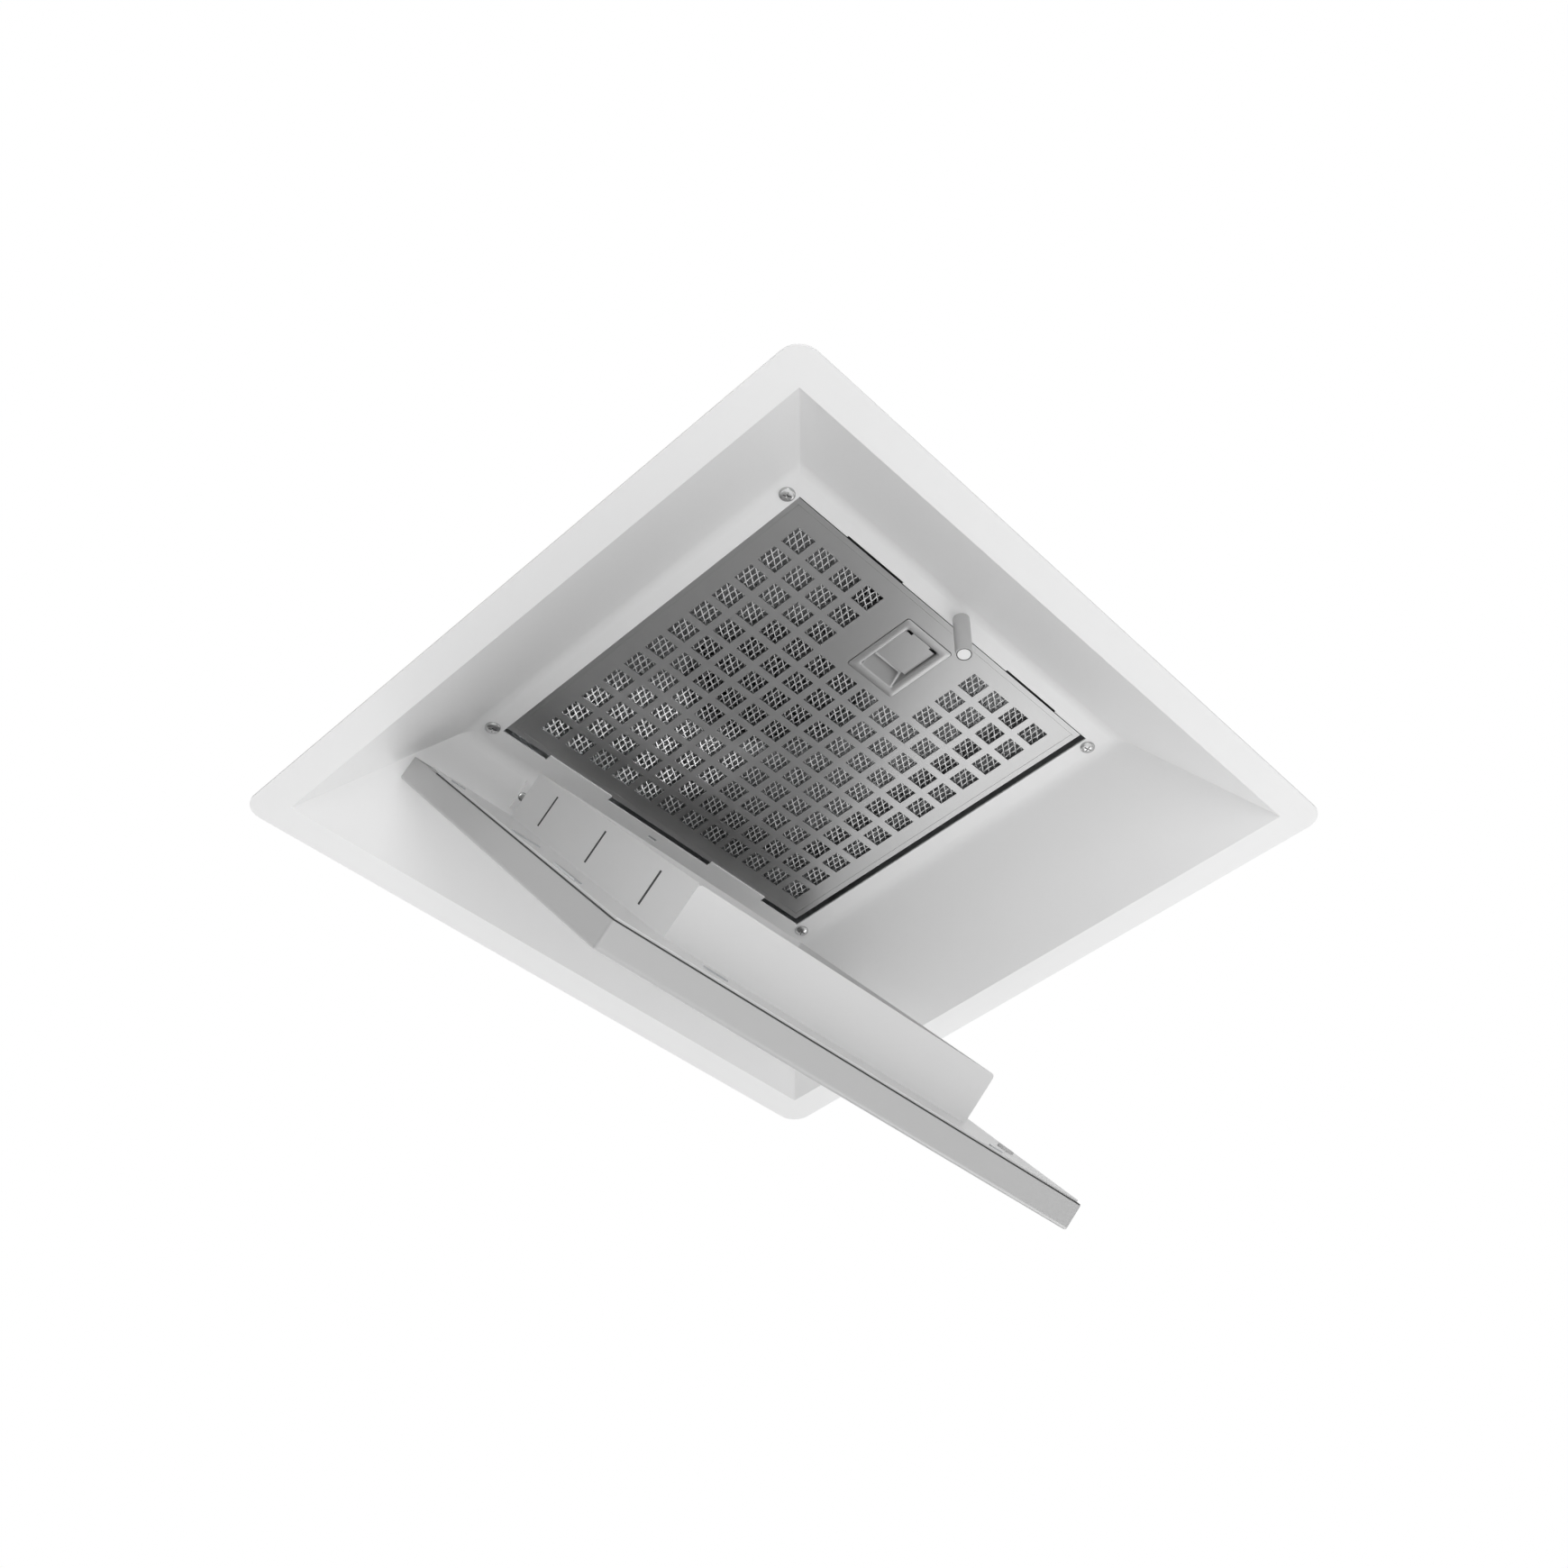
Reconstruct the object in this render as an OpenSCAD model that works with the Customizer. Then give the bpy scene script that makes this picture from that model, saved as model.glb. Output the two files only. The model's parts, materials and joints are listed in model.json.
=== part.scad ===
// Ceiling range hood with a drop-down suction panel, in millimetres.
// Z = 0 is the ceiling plane and the rim's upper face, +Z points up into the ceiling void.
// X runs from the door's hinge side (-X) to its free edge (+X), Y runs along the hinge.

/* [Canopy] */
// Outer width of the square rim
rim_w = 600; // [590:1:620]
// Width of the flat rim, from its outer edge to the mouth
rim_flat = 26.6; // [24:0.2:30]
// Corner radius of the rim
rim_corner = 17; // [10:1:20]
// Width of the upper panel between the sharp corners of its bend
panel_w = 379; // [376:1:382]
// Height of the upper panel's top face above the ceiling plane
canopy_h = 88; // [87:0.5:90]
// Sheet thickness of the canopy
canopy_t = 1.5; // [1.2:0.1:1.6]
// Inside radius of the bend between slopes and panel
canopy_bend = 14; // [10:1:15]
// Width of the square opening for the filter
opening_w = 338; // [337:0.5:338.5]

/* [Door] */
// Opening of the door drawn, in degrees from closed
door_open = 50.3; // [0:0.1:90]
// Air all round the closed door, from its upper edge to the slopes
door_air = 12.14; // [11.9:0.02:13.6]
// Depth of the door pan
door_h = 20.2; // [19:0.1:21]
// Sheet thickness of the door pan
door_t = 1.2; // [1:0.1:1.5]
// Height of the closed door's visible face above the ceiling plane
door_z = 22.1; // [21.5:0.1:22.2]
// Edge radius of the door pan
door_edge = 3.5; // [2.5:0.1:4]
// Height of the door's back plate above the pan's flange
back_rise = 2.4; // [2:0.1:2.4]
// Thickness of the back plate
back_t = 0.8; // [0.6:0.1:1]
// Distance of the collar from the back plate's rear edge
collar_rear = 14.1; // [13:0.1:18]
// Distance of the collar from the back plate's front edge
collar_front = 66.9; // [65:0.1:72]
// Distance of the collar from the back plate's side edges
collar_side = 70.25; // [70:0.05:73]
// Height of the collar above the back plate
collar_h = 41; // [38:0.1:41]
// Sheet thickness of the collar
collar_t = 1; // [0.8:0.1:1.2]

/* [Hinge and catch] */
// Distance of the hinge pin from the pan's rear edge
pin_back = 11.9; // [11.5:0.1:12.2]
// Height of the hinge pin above the door's visible face
pin_up = 8.9; // [8.8:0.1:9.2]
// Radius of the hinge pin
pin_r = 3; // [2.5:0.1:3]
// Distance of each hinge from the middle
hinge_y = 110; // [100:1:115]
// Radius of the magnet post
post_r = 6.75; // [6:0.05:7]
// Distance of the magnet post from the middle
post_x = 178; // [177:0.1:178]

/* [Filter] */
// Width of the square filter plate
filter_w = 332; // [331:0.5:332]
// Thickness of the filter plate
filter_t = 0.8; // [0.7:0.1:0.8]
// Height of the filter frame behind the plate
filter_h = 11.2; // [10.5:0.1:12]
// Number of hole rows each way
filter_rows = 12; // [10:2:12]
// Distance from one hole to the next
filter_pitch = 25; // [24:0.5:25.5]
// Width of each square hole
filter_hole = 18; // [14:0.5:19]
// Travel of the filter's latch
latch_travel = 6; // [4:0.5:6]

/* [Housing and blower] */
// Width of the square blower housing
housing_w = 342; // [341:0.5:344]
// Height of the blower housing
housing_h = 198; // [196:1:200]
// Sheet thickness of the housing
housing_t = 1.2; // [1:0.1:1.2]
// Radius of the impeller
impeller_r = 92; // [88:1:94]
// Height of the impeller
impeller_h = 100; // [92:1:102]
// Number of impeller blades
blade_n = 36; // [24:2:40]
// Inside height of the scroll
scroll_h = 138; // [134:1:140]
// Offset of the fan's shaft along the hinge
fan_y = 30; // [29:0.5:30]
// Outside radius of the round duct spigot
duct_r = 62.5; // [58:0.5:62.5]
// Length of the duct spigot
duct_l = 85; // [85:1:120]

/* [Mounting] */
// Distance of the hanger slots from the middle across the hinge
hanger_x = 120; // [110:1:140]
// Distance of the hanger slots from the middle along the hinge
hanger_y = 193; // [192:0.5:194]
// Width of each hanger slot
hanger_slot_w = 9; // [7:0.5:10]
// Length of each hanger slot
hanger_slot_l = 20; // [16:1:22]
// Bore radius of the cable gland
gland_r = 4.5; // [3.5:0.1:5]

/* [Hidden] */
$fn = 96;

// What every cut runs past the faces it opens
over = 1;
// Air round a screw, rivet or slot edge
fit = 0.1;
// Radial air of a turning fit
run_fit = 0.05;
// How deep parts of one piece run into each other
bite = 0.4;
// Step that the door's half width is rounded down to
cut_step = 0.1;

// Canopy, derived
mouth = rim_w / 2 - rim_flat;
panel_half = panel_w / 2;
recess_z = canopy_h - canopy_t;
slope = (mouth - panel_half) / canopy_h;
slope_out = canopy_t * sqrt(1 + slope * slope);
bend_angle = atan(1 / slope);
opening_half = opening_w / 2;
tab_reach = 6;
tab_y = [[-124, -58], [57, 122]];
notch_y = [[-119, -58], [65, 127]];
notch_d = 1.4;
vent_x = -177.2;
vent_l = 9;
vent_w = 3;

// Screws through the panel into the housing
panel_screw_r = 2;
panel_screw_head = 6.25;
panel_screw_h = 2.6;
panel_screw_l = 6;
panel_screw_y = 177.2;
panel_screw_at = [
    [164, -panel_screw_y],
    [164, panel_screw_y],
    [-171, -panel_screw_y],
    [-171, panel_screw_y]
];
cross_w = 1;
cross_l = 6;
cross_d = 1.6;

// Door, derived
door_top = door_z + door_h;
door_room = mouth - (door_top + canopy_t) * slope - door_air;
door_half = floor(door_room / cut_step) * cut_step;
pin_x = -(door_half - pin_back);
pin_z = door_z + pin_up;
lip_w = 12;
lip_relief = 7;
door_gap = 3.5;
back_half = door_half - door_gap;
back_start = 26.6;
back_x = pin_x + back_start;
back_z = door_top + back_rise;
hem_w = 1.2;
collar_low = back_x + collar_rear;
collar_high = back_half - collar_front;
collar_l = collar_high - collar_low;
collar_w = 2 * (back_half - collar_side);
collar_mid = (collar_low + collar_high) / 2;
collar_corner = 3.5;
collar_lip = 10;
vane_l = 26;
vane_w = 2;
vane_up = 7.3;
vane_step = 104;

// Small clips along a side edge: middle X, distance in from the edge, size X, size Y
side_clip_at = [[-137.5, 9, 6, 11], [9.5, 15, 3, 24], [105, 10.5, 40, 6]];
// Small clips along the front edge: distance in from the edge, middle Y, size X, size Y
front_clip_at = [[27.5, -122.5, 5, 18], [5.5, 129.5, 3, 12]];
clip_at = concat(
    [for (c = side_clip_at) [c[0], -back_half + c[1], c[2], c[3]]],
    [for (c = front_clip_at) [back_half - c[0], c[1], c[2], c[3]]]
);
clip_t = 1;
buffer_x = 166.5;
buffer_y = 176.5;
buffer_r = 6.5;
buffer_h = 2.2;
rivet_r = 1.6;
rivet_head = 3.2;
rivet_h = 1.2;
collar_rivet_y = [-96, 0, 96];

// Hinge, derived
ring_r = 6.5;
bracket_t = 4;
neck_w = 5;
neck_angle = 27;
neck_l = 25;
arm_in = 19;
arm_out = 25.5;
arm_low = 10;
arm_high = 39;
foot_low = 32.3;
foot_high = 49.1;
foot_t = 2;
foot_w = 26;
foot_l = 26;
slope_at_pin = -(mouth - (pin_z + canopy_t) * slope) - pin_x;
foot_mid = (foot_low + foot_high) / 2;
foot_rivet_y = 8.5;
foot_rivet_r = 2;
foot_rivet_head = 4;
ear_t = 1.5;
ear_gap = 0.5;
ear_w = 11;
ear_foot = 9;
ear_base = 16;
pin_head = 4.5;
pin_head_t = 1.5;

// Magnet post, derived
post_gap = 0.3;
post_tip = back_z + post_gap;
magnet_r = 5.25;
magnet_gap = 0.5;
magnet_h = 4;
post_screw_r = 2;
post_screw_head = 3.5;
post_screw_h = 2.5;
post_screw_l = 12;

// Filter, derived
filter_x = 1.5;
filter_y = -2.75;
filter_z = canopy_h;
filter_half = filter_w / 2;
frame_t = 1;
frame_in = 1;
frame_lip = 8;
frame_half = filter_half - frame_in;
mesh_t = 6;
blank_rows = 3;
blank_cols = 4;
pad_clear = 35;
pad_edge = 1;
handle_x = 115.6;
cup_l = 50;
cup_w = 35;
cup_frame_l = 67;
cup_frame_w = 52;
cup_flange_l = 77;
cup_flange_w = 60;
cup_t = 0.6;
cup_h = 8.2;
cup_corner = 2.5;
tongue_t = 1.5;
tongue_l = 34;
tongue_side = 0.5;
tongue_up = 1;
tongue_lip = 3.6;
strap_w = 20;
strap_end = 172.3;
strap_air = 0.4;
tongue_z = filter_z + filter_t + tongue_up;
latch_ear = 3;
latch_ear_x = 150;
latch_coil_y = 13;
latch_coil_r = 1.4;
latch_wire_r = 0.35;
latch_coil_n = 18;

// Housing, derived
housing_half = housing_w / 2;
housing_in = housing_half - housing_t;
housing_z = canopy_h;
housing_top = housing_z + housing_h;
housing_flange = 12;
cover_air = 0.2;
cover_lip = 12;
small_screw_r = 1.9;
small_head = 3.6;
small_head_t = 2;
small_l = 6;
side_screw_at = [-90, 90];

// Blower, derived
deck_z = 120;
deck_lip = 18;
scroll_half = 15;
scroll_air = 6.8;
scroll_r = housing_in + fan_y - scroll_air - 5 * scroll_half;
scroll_step = 2 * scroll_half;
scroll_t = 1;
scroll_low = -(scroll_r + 5 * scroll_half);
outlet_w = 140;
outlet_top = scroll_low + outlet_w;
scroll_z = deck_z + scroll_h;
cover_edge = 4;
cover_t = 1.2;
inlet_r = 69;
inlet_bend = 14;
inlet_t = 1;
inlet_flange = 100;
inlet_screw_n = 6;
inlet_screw_pcr = 94;
impeller_z = 130;
impeller_top = impeller_z + impeller_h;
blade_l = 20;
blade_t = 1;
blade_angle = 35;
ring_h = 4;
disc_t = 1.5;
hub_r = 12;
hub_h = 18;
shaft_r = 4;
motor_r = 46;
motor_gap = 9;
motor_z = impeller_top + motor_gap;
motor_h = 39;
motor_hole = 62;
bearing_d = 20;
bracket_r = 78;
bracket_plate_t = 2;
damper_r = 7;
damper_h = 6;
damper_at = 68;
damper_n = 3;
damper_turn = 60;
damper_bore = 2.5;
damper_screw_r = 2.4;
damper_head = 4.5;
damper_head_t = 3;
scroll_foot = 14;
scroll_foot_t = 1.2;
scroll_foot_reach = 10;

// Spigot and flaps, derived
duct_y = fan_y + (scroll_low + outlet_top) / 2;
duct_z = deck_z + scroll_h / 2;
duct_t = 1;
duct_flange = 146;
duct_flange_t = 1.5;
duct_rivet = 68;
wall_hole = 124;
flap_x = housing_half + 13;
flap_r = duct_r - duct_t - 1.5 * duct_t;
flap_t = 0.8;
flap_start = 4.2;
knuckle_r = 3.5;
knuckle_l = 22;
knuckle_step = 24;
spindle_r = 2;
coil_r = 2.8;
coil_wire = 0.4;
coil_n = 10;
coil_pitch = 0.97;
coil_z = 49;
coil_leg = 20;

// Terminal box, derived
box_gap = 1.8;
box_w = 68;
box_d = 44.8;
box_x = [housing_in - box_gap - box_w, housing_in - box_gap];
box_y = housing_in - box_d;
box_h = 55;
box_t = 2;
lid_t = 2;
lid_lap = 1.5;
lead_air = 0.3;
lead_r = damper_h / 2 - lead_air;
lead_bend = 12;
lead_x = box_x[1] - 4 * box_t;
lead_z = scroll_z + cover_t + damper_h / 2;
lead_low = 150;
lead_in = 6;
gland_hex = 14;
gland_x = box_x[0] + 2 * gland_hex;
gland_z = 150;
gland_thread = 10;
gland_hex_t = 5;
gland_cap = 12;
gland_cap_l = 12;
gland_nut_r = 13;
gland_nut_t = 3;
block_l = 36;
block_w = 14;
block_h = 14;
block_x = box_x[0] + block_l / 2 + 2 * box_t;
block_y = box_y + block_w + 3.5 * box_t;
block_screw_r = 2.5;
cap_r = 16;
cap_h = 62;
cap_x = lead_x - 2 * cap_r;
cap_y = 62;
cap_stud_r = 3;
cap_stud_l = 8;

// Hanger brackets, derived
hanger_t = 2.5;
hanger_w = 44;
hanger_drop = 40;
hanger_reach = 40;
hanger_z = 210;
hanger_bolt_r = 3;
hanger_bolt_head = 5.5;
hanger_bolt_h = 3.5;
hanger_bolt_l = 8;
hanger_bolt_x = 12;

// A rectangle with round corners
module rounded(w, d, r) {
    square([w - 2 * r, d], center = true);
    square([w, d - 2 * r], center = true);
    for (x = [-1, 1], y = [-1, 1])
        translate([x * (w / 2 - r), y * (d / 2 - r)])
            circle(r);
}

// A plain block between two corners
module block(a, b) {
    translate(a)
        cube([b[0] - a[0], b[1] - a[1], b[2] - a[2]]);
}

// A rod along X, Y or Z from a point
module rod_x(at, r, l) {
    translate(at)
        rotate([0, 90, 0])
            cylinder(r = r, h = l);
}

module rod_y(at, r, l) {
    translate(at)
        rotate([-90, 0, 0])
            cylinder(r = r, h = l);
}

module rod_z(at, r, l) {
    translate(at)
        cylinder(r = r, h = l);
}

// The canopy's section across one pair of slopes: width at the mouth, width at the top, bend radius
module tub_section(low, high, half_low, half_high, r) {
    tangent = r * tan(bend_angle / 2);
    flat_half = half_high - tangent;
    knee = half_high + tangent * cos(bend_angle);
    knee_z = high - tangent * sin(bend_angle);
    polygon([
        [-half_low, low],
        [half_low, low],
        [knee, knee_z],
        [flat_half, high],
        [-flat_half, high],
        [-knee, knee_z]
    ]);
    for (s = [-1, 1])
        translate([s * flat_half, high - r])
            circle(r);
}

// A four-sided tub with mitred corners
module tub(low, high, half_low, half_high, r) {
    length = 2 * half_low + 2 * over;
    intersection() {
        rotate([90, 0, 0])
            linear_extrude(height = length, center = true)
                tub_section(low, high, half_low, half_high, r);
        rotate([90, 0, 90])
            linear_extrude(height = length, center = true)
                tub_section(low, high, half_low, half_high, r);
    }
}

module canopy() {
    color("gainsboro")
    difference() {
        union() {
            translate([0, 0, -canopy_t])
                linear_extrude(height = canopy_t)
                    rounded(rim_w, rim_w, rim_corner);
            tub(
                -canopy_t,
                canopy_h,
                mouth + slope_out,
                mouth + slope_out - slope * (canopy_h + canopy_t),
                canopy_bend + canopy_t
            );
        }
        tub(
            -canopy_t - over,
            recess_z,
            mouth + slope * over,
            panel_half,
            canopy_bend
        );
        difference() {
            block(
                [-opening_half, -opening_half, recess_z - over],
                [opening_half, opening_half, canopy_h + over]
            );
            for (y = tab_y)
                block(
                    [-opening_half - over, y[0], recess_z],
                    [-opening_half + tab_reach, y[1], canopy_h]
                );
        }
        for (y = notch_y)
            block(
                [opening_half - over, y[0], recess_z - over],
                [opening_half + notch_d, y[1], canopy_h + over]
            );
        block(
            [vent_x - vent_w / 2, -vent_l / 2, recess_z - over],
            [vent_x + vent_w / 2, vent_l / 2, canopy_h + over]
        );
        for (p = panel_screw_at)
            rod_z([p[0], p[1], recess_z - over], panel_screw_r + fit, canopy_t + 2 * over);
        rod_z([post_x, 0, recess_z - over], post_screw_r + fit, canopy_t + 2 * over);
        for (y = [-hinge_y, hinge_y], s = [-1, 1])
            foot_hole([pin_x, y + s * foot_rivet_y, pin_z], foot_rivet_r + fit, -2 * over, canopy_t + foot_t + 2 * over);
    }
}

// A rod square to the rear slope, at the middle of the hinge bracket's foot
module foot_hole(at, r, from, l) {
    translate(at)
        translate([slope_at_pin + slope * foot_mid, 0, foot_mid])
            rotate([0, -bend_angle, 0])
                translate([0, 0, from])
                    cylinder(r = r, h = l);
}

// A pan-head screw standing on a face that looks down, cross recess in the head
module panel_screw(at) {
    translate([at[0], at[1], recess_z]) {
        rod_z([0, 0, 0], panel_screw_r, panel_screw_l);
        difference() {
            translate([0, 0, -panel_screw_h])
                cylinder(r1 = panel_screw_head - panel_screw_h / 2, r2 = panel_screw_head, h = panel_screw_h);
            for (a = [45, 135])
                rotate([0, 0, a])
                    block(
                        [-cross_l / 2, -cross_w / 2, -panel_screw_h - over],
                        [cross_l / 2, cross_w / 2, -panel_screw_h + cross_d]
                    );
        }
    }
}

module panel_screws() {
    color("silver")
        for (p = panel_screw_at)
            panel_screw(p);
}

module magnet_post() {
    color("dimgray")
    difference() {
        rod_z([post_x, 0, post_tip], post_r, recess_z - post_tip);
        rod_z([post_x, 0, post_tip - over], magnet_r + magnet_gap, magnet_h + over);
        rod_z([post_x, 0, recess_z - post_screw_l], post_screw_r, post_screw_l + over);
    }
}

module post_magnet() {
    color("silver")
        rod_z([post_x, 0, post_tip], magnet_r, magnet_h);
}

module post_screw() {
    color("silver") {
        rod_z(
            [post_x, 0, recess_z - post_screw_l + over],
            post_screw_r,
            post_screw_l - over + canopy_t + housing_t + bite
        );
        rod_z([post_x, 0, canopy_h + housing_t], post_screw_head, post_screw_h);
    }
}

// Door, drawn closed and then turned open about the hinge pins
module door_pose() {
    translate([pin_x, 0, pin_z])
        rotate([0, door_open, 0])
            translate([-pin_x, 0, -pin_z])
                children();
}

// Section of the door pan: flat face, round lower edges
module pan_section(half, low, high, r) {
    translate([-half, low + r])
        square([2 * half, high - low - r]);
    translate([-half + r, low])
        square([2 * (half - r), 2 * r]);
    for (s = [-1, 1])
        translate([s * (half - r), low + r])
            circle(r);
}

module pan_block(half, low, high, r) {
    intersection() {
        rotate([90, 0, 0])
            linear_extrude(height = 2 * half, center = true)
                pan_section(half, low, high, r);
        rotate([90, 0, 90])
            linear_extrude(height = 2 * half, center = true)
                pan_section(half, low, high, r);
        translate([0, 0, low])
            linear_extrude(height = high - low)
                rounded(2 * half, 2 * half, r);
    }
}

module door_pan() {
    lip_in = door_half - door_t - lip_w;
    color("gainsboro")
    door_pose()
    difference() {
        pan_block(door_half, door_z, door_top, door_edge);
        difference() {
            pan_block(
                door_half - door_t,
                door_z + door_t,
                door_top + over,
                door_edge - door_t
            );
            difference() {
                block(
                    [-door_half, -door_half, door_top - door_t],
                    [door_half, door_half, door_top]
                );
                block(
                    [-door_half - over, -lip_in, door_top - door_t - over],
                    [lip_in, lip_in, door_top + over]
                );
                for (s = [-1, 1])
                    translate([-door_half, s * door_half, door_top])
                        cube(2 * (lip_w + lip_relief), center = true);
                for (s = [-1, 1])
                    translate([door_half, s * door_half, door_top])
                        rotate([0, 0, 45])
                            cube([2 * lip_relief, 2 * lip_relief, 2 * lip_w], center = true);
            }
        }
    }
}

module door_back_plate() {
    color("silver")
    door_pose()
    difference() {
        union() {
            block([back_x, -back_half, back_z - back_t], [back_half, back_half, back_z]);
            for (s = [-1, 1])
                block(
                    [back_x + lip_w + lip_relief, s * back_half - (s + 1) / 2 * hem_w, door_top],
                    [back_half, s * back_half + (1 - s) / 2 * hem_w, back_z - back_t + bite]
                );
            block([back_half - hem_w, -back_half, door_top], [back_half, back_half, back_z - back_t + bite]);
        }
        for (c = clip_at)
            block(
                [c[0] - c[2] / 2 + clip_t, c[1] - clip_t / 2 - fit, door_top - over],
                [c[0] + c[2] / 2 - clip_t, c[1] + clip_t / 2 + fit, back_z + over]
            );
        for (p = collar_rivet_at())
            rod_z([p[0], p[1], back_z - back_t - over], rivet_r + fit, back_t + 2 * over);
        rod_z([buffer_x, buffer_y, back_z - back_t - over], buffer_r / 2 + fit, back_t + 2 * over);
    }
}

function collar_rivet_at() = [
    for (s = [-1, 1], y = collar_rivet_y)
        [collar_mid + s * (collar_l / 2 - collar_lip / 2 - collar_t / 2), y]
];

// One wall of the collar: length, height and rounded upper corners
module wall_shape(l) {
    translate([-l / 2, 0])
        square([l, collar_h - collar_corner]);
    translate([-l / 2 + collar_corner, 0])
        square([l - 2 * collar_corner, collar_h]);
    for (s = [-1, 1])
        translate([s * (l / 2 - collar_corner), collar_h - collar_corner])
            circle(collar_corner);
}

module door_collar() {
    color("gainsboro")
    door_pose()
    translate([collar_mid, 0, back_z])
    difference() {
        union() {
            for (s = [-1, 1])
                translate([0, s * (collar_w / 2 - collar_t / 2), 0])
                    rotate([90, 0, 0])
                        linear_extrude(height = collar_t, center = true)
                            wall_shape(collar_l);
            for (s = [-1, 1])
                translate([s * (collar_l / 2 - collar_t / 2), 0, 0])
                    rotate([90, 0, 90])
                        linear_extrude(height = collar_t, center = true)
                            wall_shape(collar_w);
            difference() {
                block([-collar_l / 2, -collar_w / 2, 0], [collar_l / 2, collar_w / 2, collar_t]);
                block(
                    [-collar_l / 2 + collar_lip, -collar_w / 2 + collar_lip, -over],
                    [collar_l / 2 - collar_lip, collar_w / 2 - collar_lip, collar_t + over]
                );
            }
        }
        for (x = [-vane_step, 0, vane_step])
            block(
                [x - vane_w / 2, -collar_w / 2 - over, vane_up],
                [x + vane_w / 2, collar_w / 2 + over, vane_up + vane_l]
            );
        for (p = collar_rivet_at())
            rod_z([p[0] - collar_mid, p[1], -over], rivet_r + fit, collar_t + 2 * over);
    }
}

module door_clips() {
    color("silver")
    door_pose()
        for (c = clip_at) {
            block(
                [c[0] - c[2] / 2, c[1] - c[3] / 2, back_z],
                [c[0] + c[2] / 2, c[1] + c[3] / 2, back_z + clip_t]
            );
            block(
                [c[0] - c[2] / 2 + clip_t + fit, c[1] - clip_t / 2, back_z - back_t - clip_t],
                [c[0] + c[2] / 2 - clip_t - fit, c[1] + clip_t / 2, back_z + bite]
            );
        }
}

module collar_rivets() {
    color("silver")
    door_pose()
        for (p = collar_rivet_at()) {
            rod_z([p[0], p[1], back_z + collar_t], rivet_head, rivet_h);
            rod_z([p[0], p[1], back_z - back_t], rivet_r, back_t + collar_t + bite);
            rod_z([p[0], p[1], back_z - back_t - rivet_h], rivet_head, rivet_h);
        }
}

module door_buffer() {
    color("dimgray")
    door_pose() {
        rod_z([buffer_x, buffer_y, back_z], buffer_r, buffer_h);
        rod_z([buffer_x, buffer_y, back_z - back_t - clip_t], buffer_r / 2, back_t + clip_t + bite);
    }
}

// Hinge bracket in section, with the pin at the middle
module bracket_shape() {
    difference() {
        union() {
            circle(ring_r);
            rotate(neck_angle)
                translate([0, -neck_w / 2])
                    square([neck_l, neck_w]);
            polygon([
                [arm_in, arm_low],
                [arm_out, arm_low + neck_w / 2],
                [arm_out, arm_high],
                [slope_at_pin + slope * foot_high, foot_high],
                [slope_at_pin + slope * foot_low, foot_low],
                [arm_in, foot_low - neck_w]
            ]);
        }
        circle(pin_r + run_fit);
    }
}

module hinge_brackets() {
    color("silver")
        for (y = [-hinge_y, hinge_y])
            translate([pin_x, y, pin_z])
            difference() {
                union() {
                    rotate([90, 0, 0])
                        linear_extrude(height = bracket_t, center = true)
                            bracket_shape();
                    translate([slope_at_pin + slope * foot_mid, 0, foot_mid])
                        rotate([0, -bend_angle, 0])
                            translate([-foot_l / 2, -foot_w / 2, -foot_t])
                                cube([foot_l, foot_w, foot_t]);
                }
                for (s = [-1, 1])
                    foot_hole([0, s * foot_rivet_y, 0], foot_rivet_r + fit, -foot_t - over, foot_t + 2 * over);
            }
}

module bracket_rivets() {
    color("silver")
        for (y = [-hinge_y, hinge_y], s = [-1, 1]) {
            foot_hole([pin_x, y + s * foot_rivet_y, pin_z], foot_rivet_r, -foot_t - bite, foot_t + canopy_t + 2 * bite);
            foot_hole([pin_x, y + s * foot_rivet_y, pin_z], foot_rivet_head, -foot_t - rivet_h, rivet_h);
            foot_hole([pin_x, y + s * foot_rivet_y, pin_z], foot_rivet_head, canopy_t, rivet_h);
        }
}

// Ears on the door: a plate each side of every bracket, each with a foot on the pan's floor
module door_ears() {
    color("silver")
    door_pose()
        for (y = [-hinge_y, hinge_y], s = [-1, 1])
            translate([pin_x, y, pin_z])
            mirror([0, s > 0 ? 0 : 1, 0]) {
                face = bracket_t / 2 + ear_gap;
                floor_z = door_z + door_t - pin_z;
                difference() {
                    union() {
                        rod_y([0, face, 0], ear_w / 2, ear_t);
                        block([-ear_w / 2, face, floor_z], [ear_w / 2, face + ear_t, 0]);
                        block(
                            [-ear_w / 2, face, floor_z],
                            [ear_base - ear_w / 2, face + ear_foot, floor_z + ear_t]
                        );
                    }
                    rod_y([0, face - over, 0], pin_r, ear_t + 2 * over);
                }
            }
}

module hinge_pins() {
    half = bracket_t / 2 + ear_gap + ear_t;
    color("silver")
    door_pose()
        for (y = [-hinge_y, hinge_y]) {
            rod_y([pin_x, y - half - bite, pin_z], pin_r, 2 * half + 2 * bite);
            rod_y([pin_x, y + half, pin_z], pin_head, pin_head_t);
            rod_y([pin_x, y - half - pin_head_t, pin_z], pin_head, pin_head_t);
        }
}

// Filter cassette
module filter_face() {
    color("silver")
    translate([filter_x, filter_y, filter_z])
        linear_extrude(height = filter_t)
            difference() {
                square(filter_w, center = true);
                for (i = [0 : filter_rows - 1], j = [0 : filter_rows - 1]) {
                    blank_x = i >= filter_rows - blank_rows;
                    blank_y = abs(j - (filter_rows - 1) / 2) < blank_cols / 2;
                    if (!(blank_x && blank_y))
                        translate([
                            (i - (filter_rows - 1) / 2) * filter_pitch,
                            (j - (filter_rows - 1) / 2) * filter_pitch
                        ])
                            square(filter_hole, center = true);
                }
                translate([handle_x - filter_x, 0])
                    rounded(cup_frame_l, cup_frame_w, cup_corner);
            }
}

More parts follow.
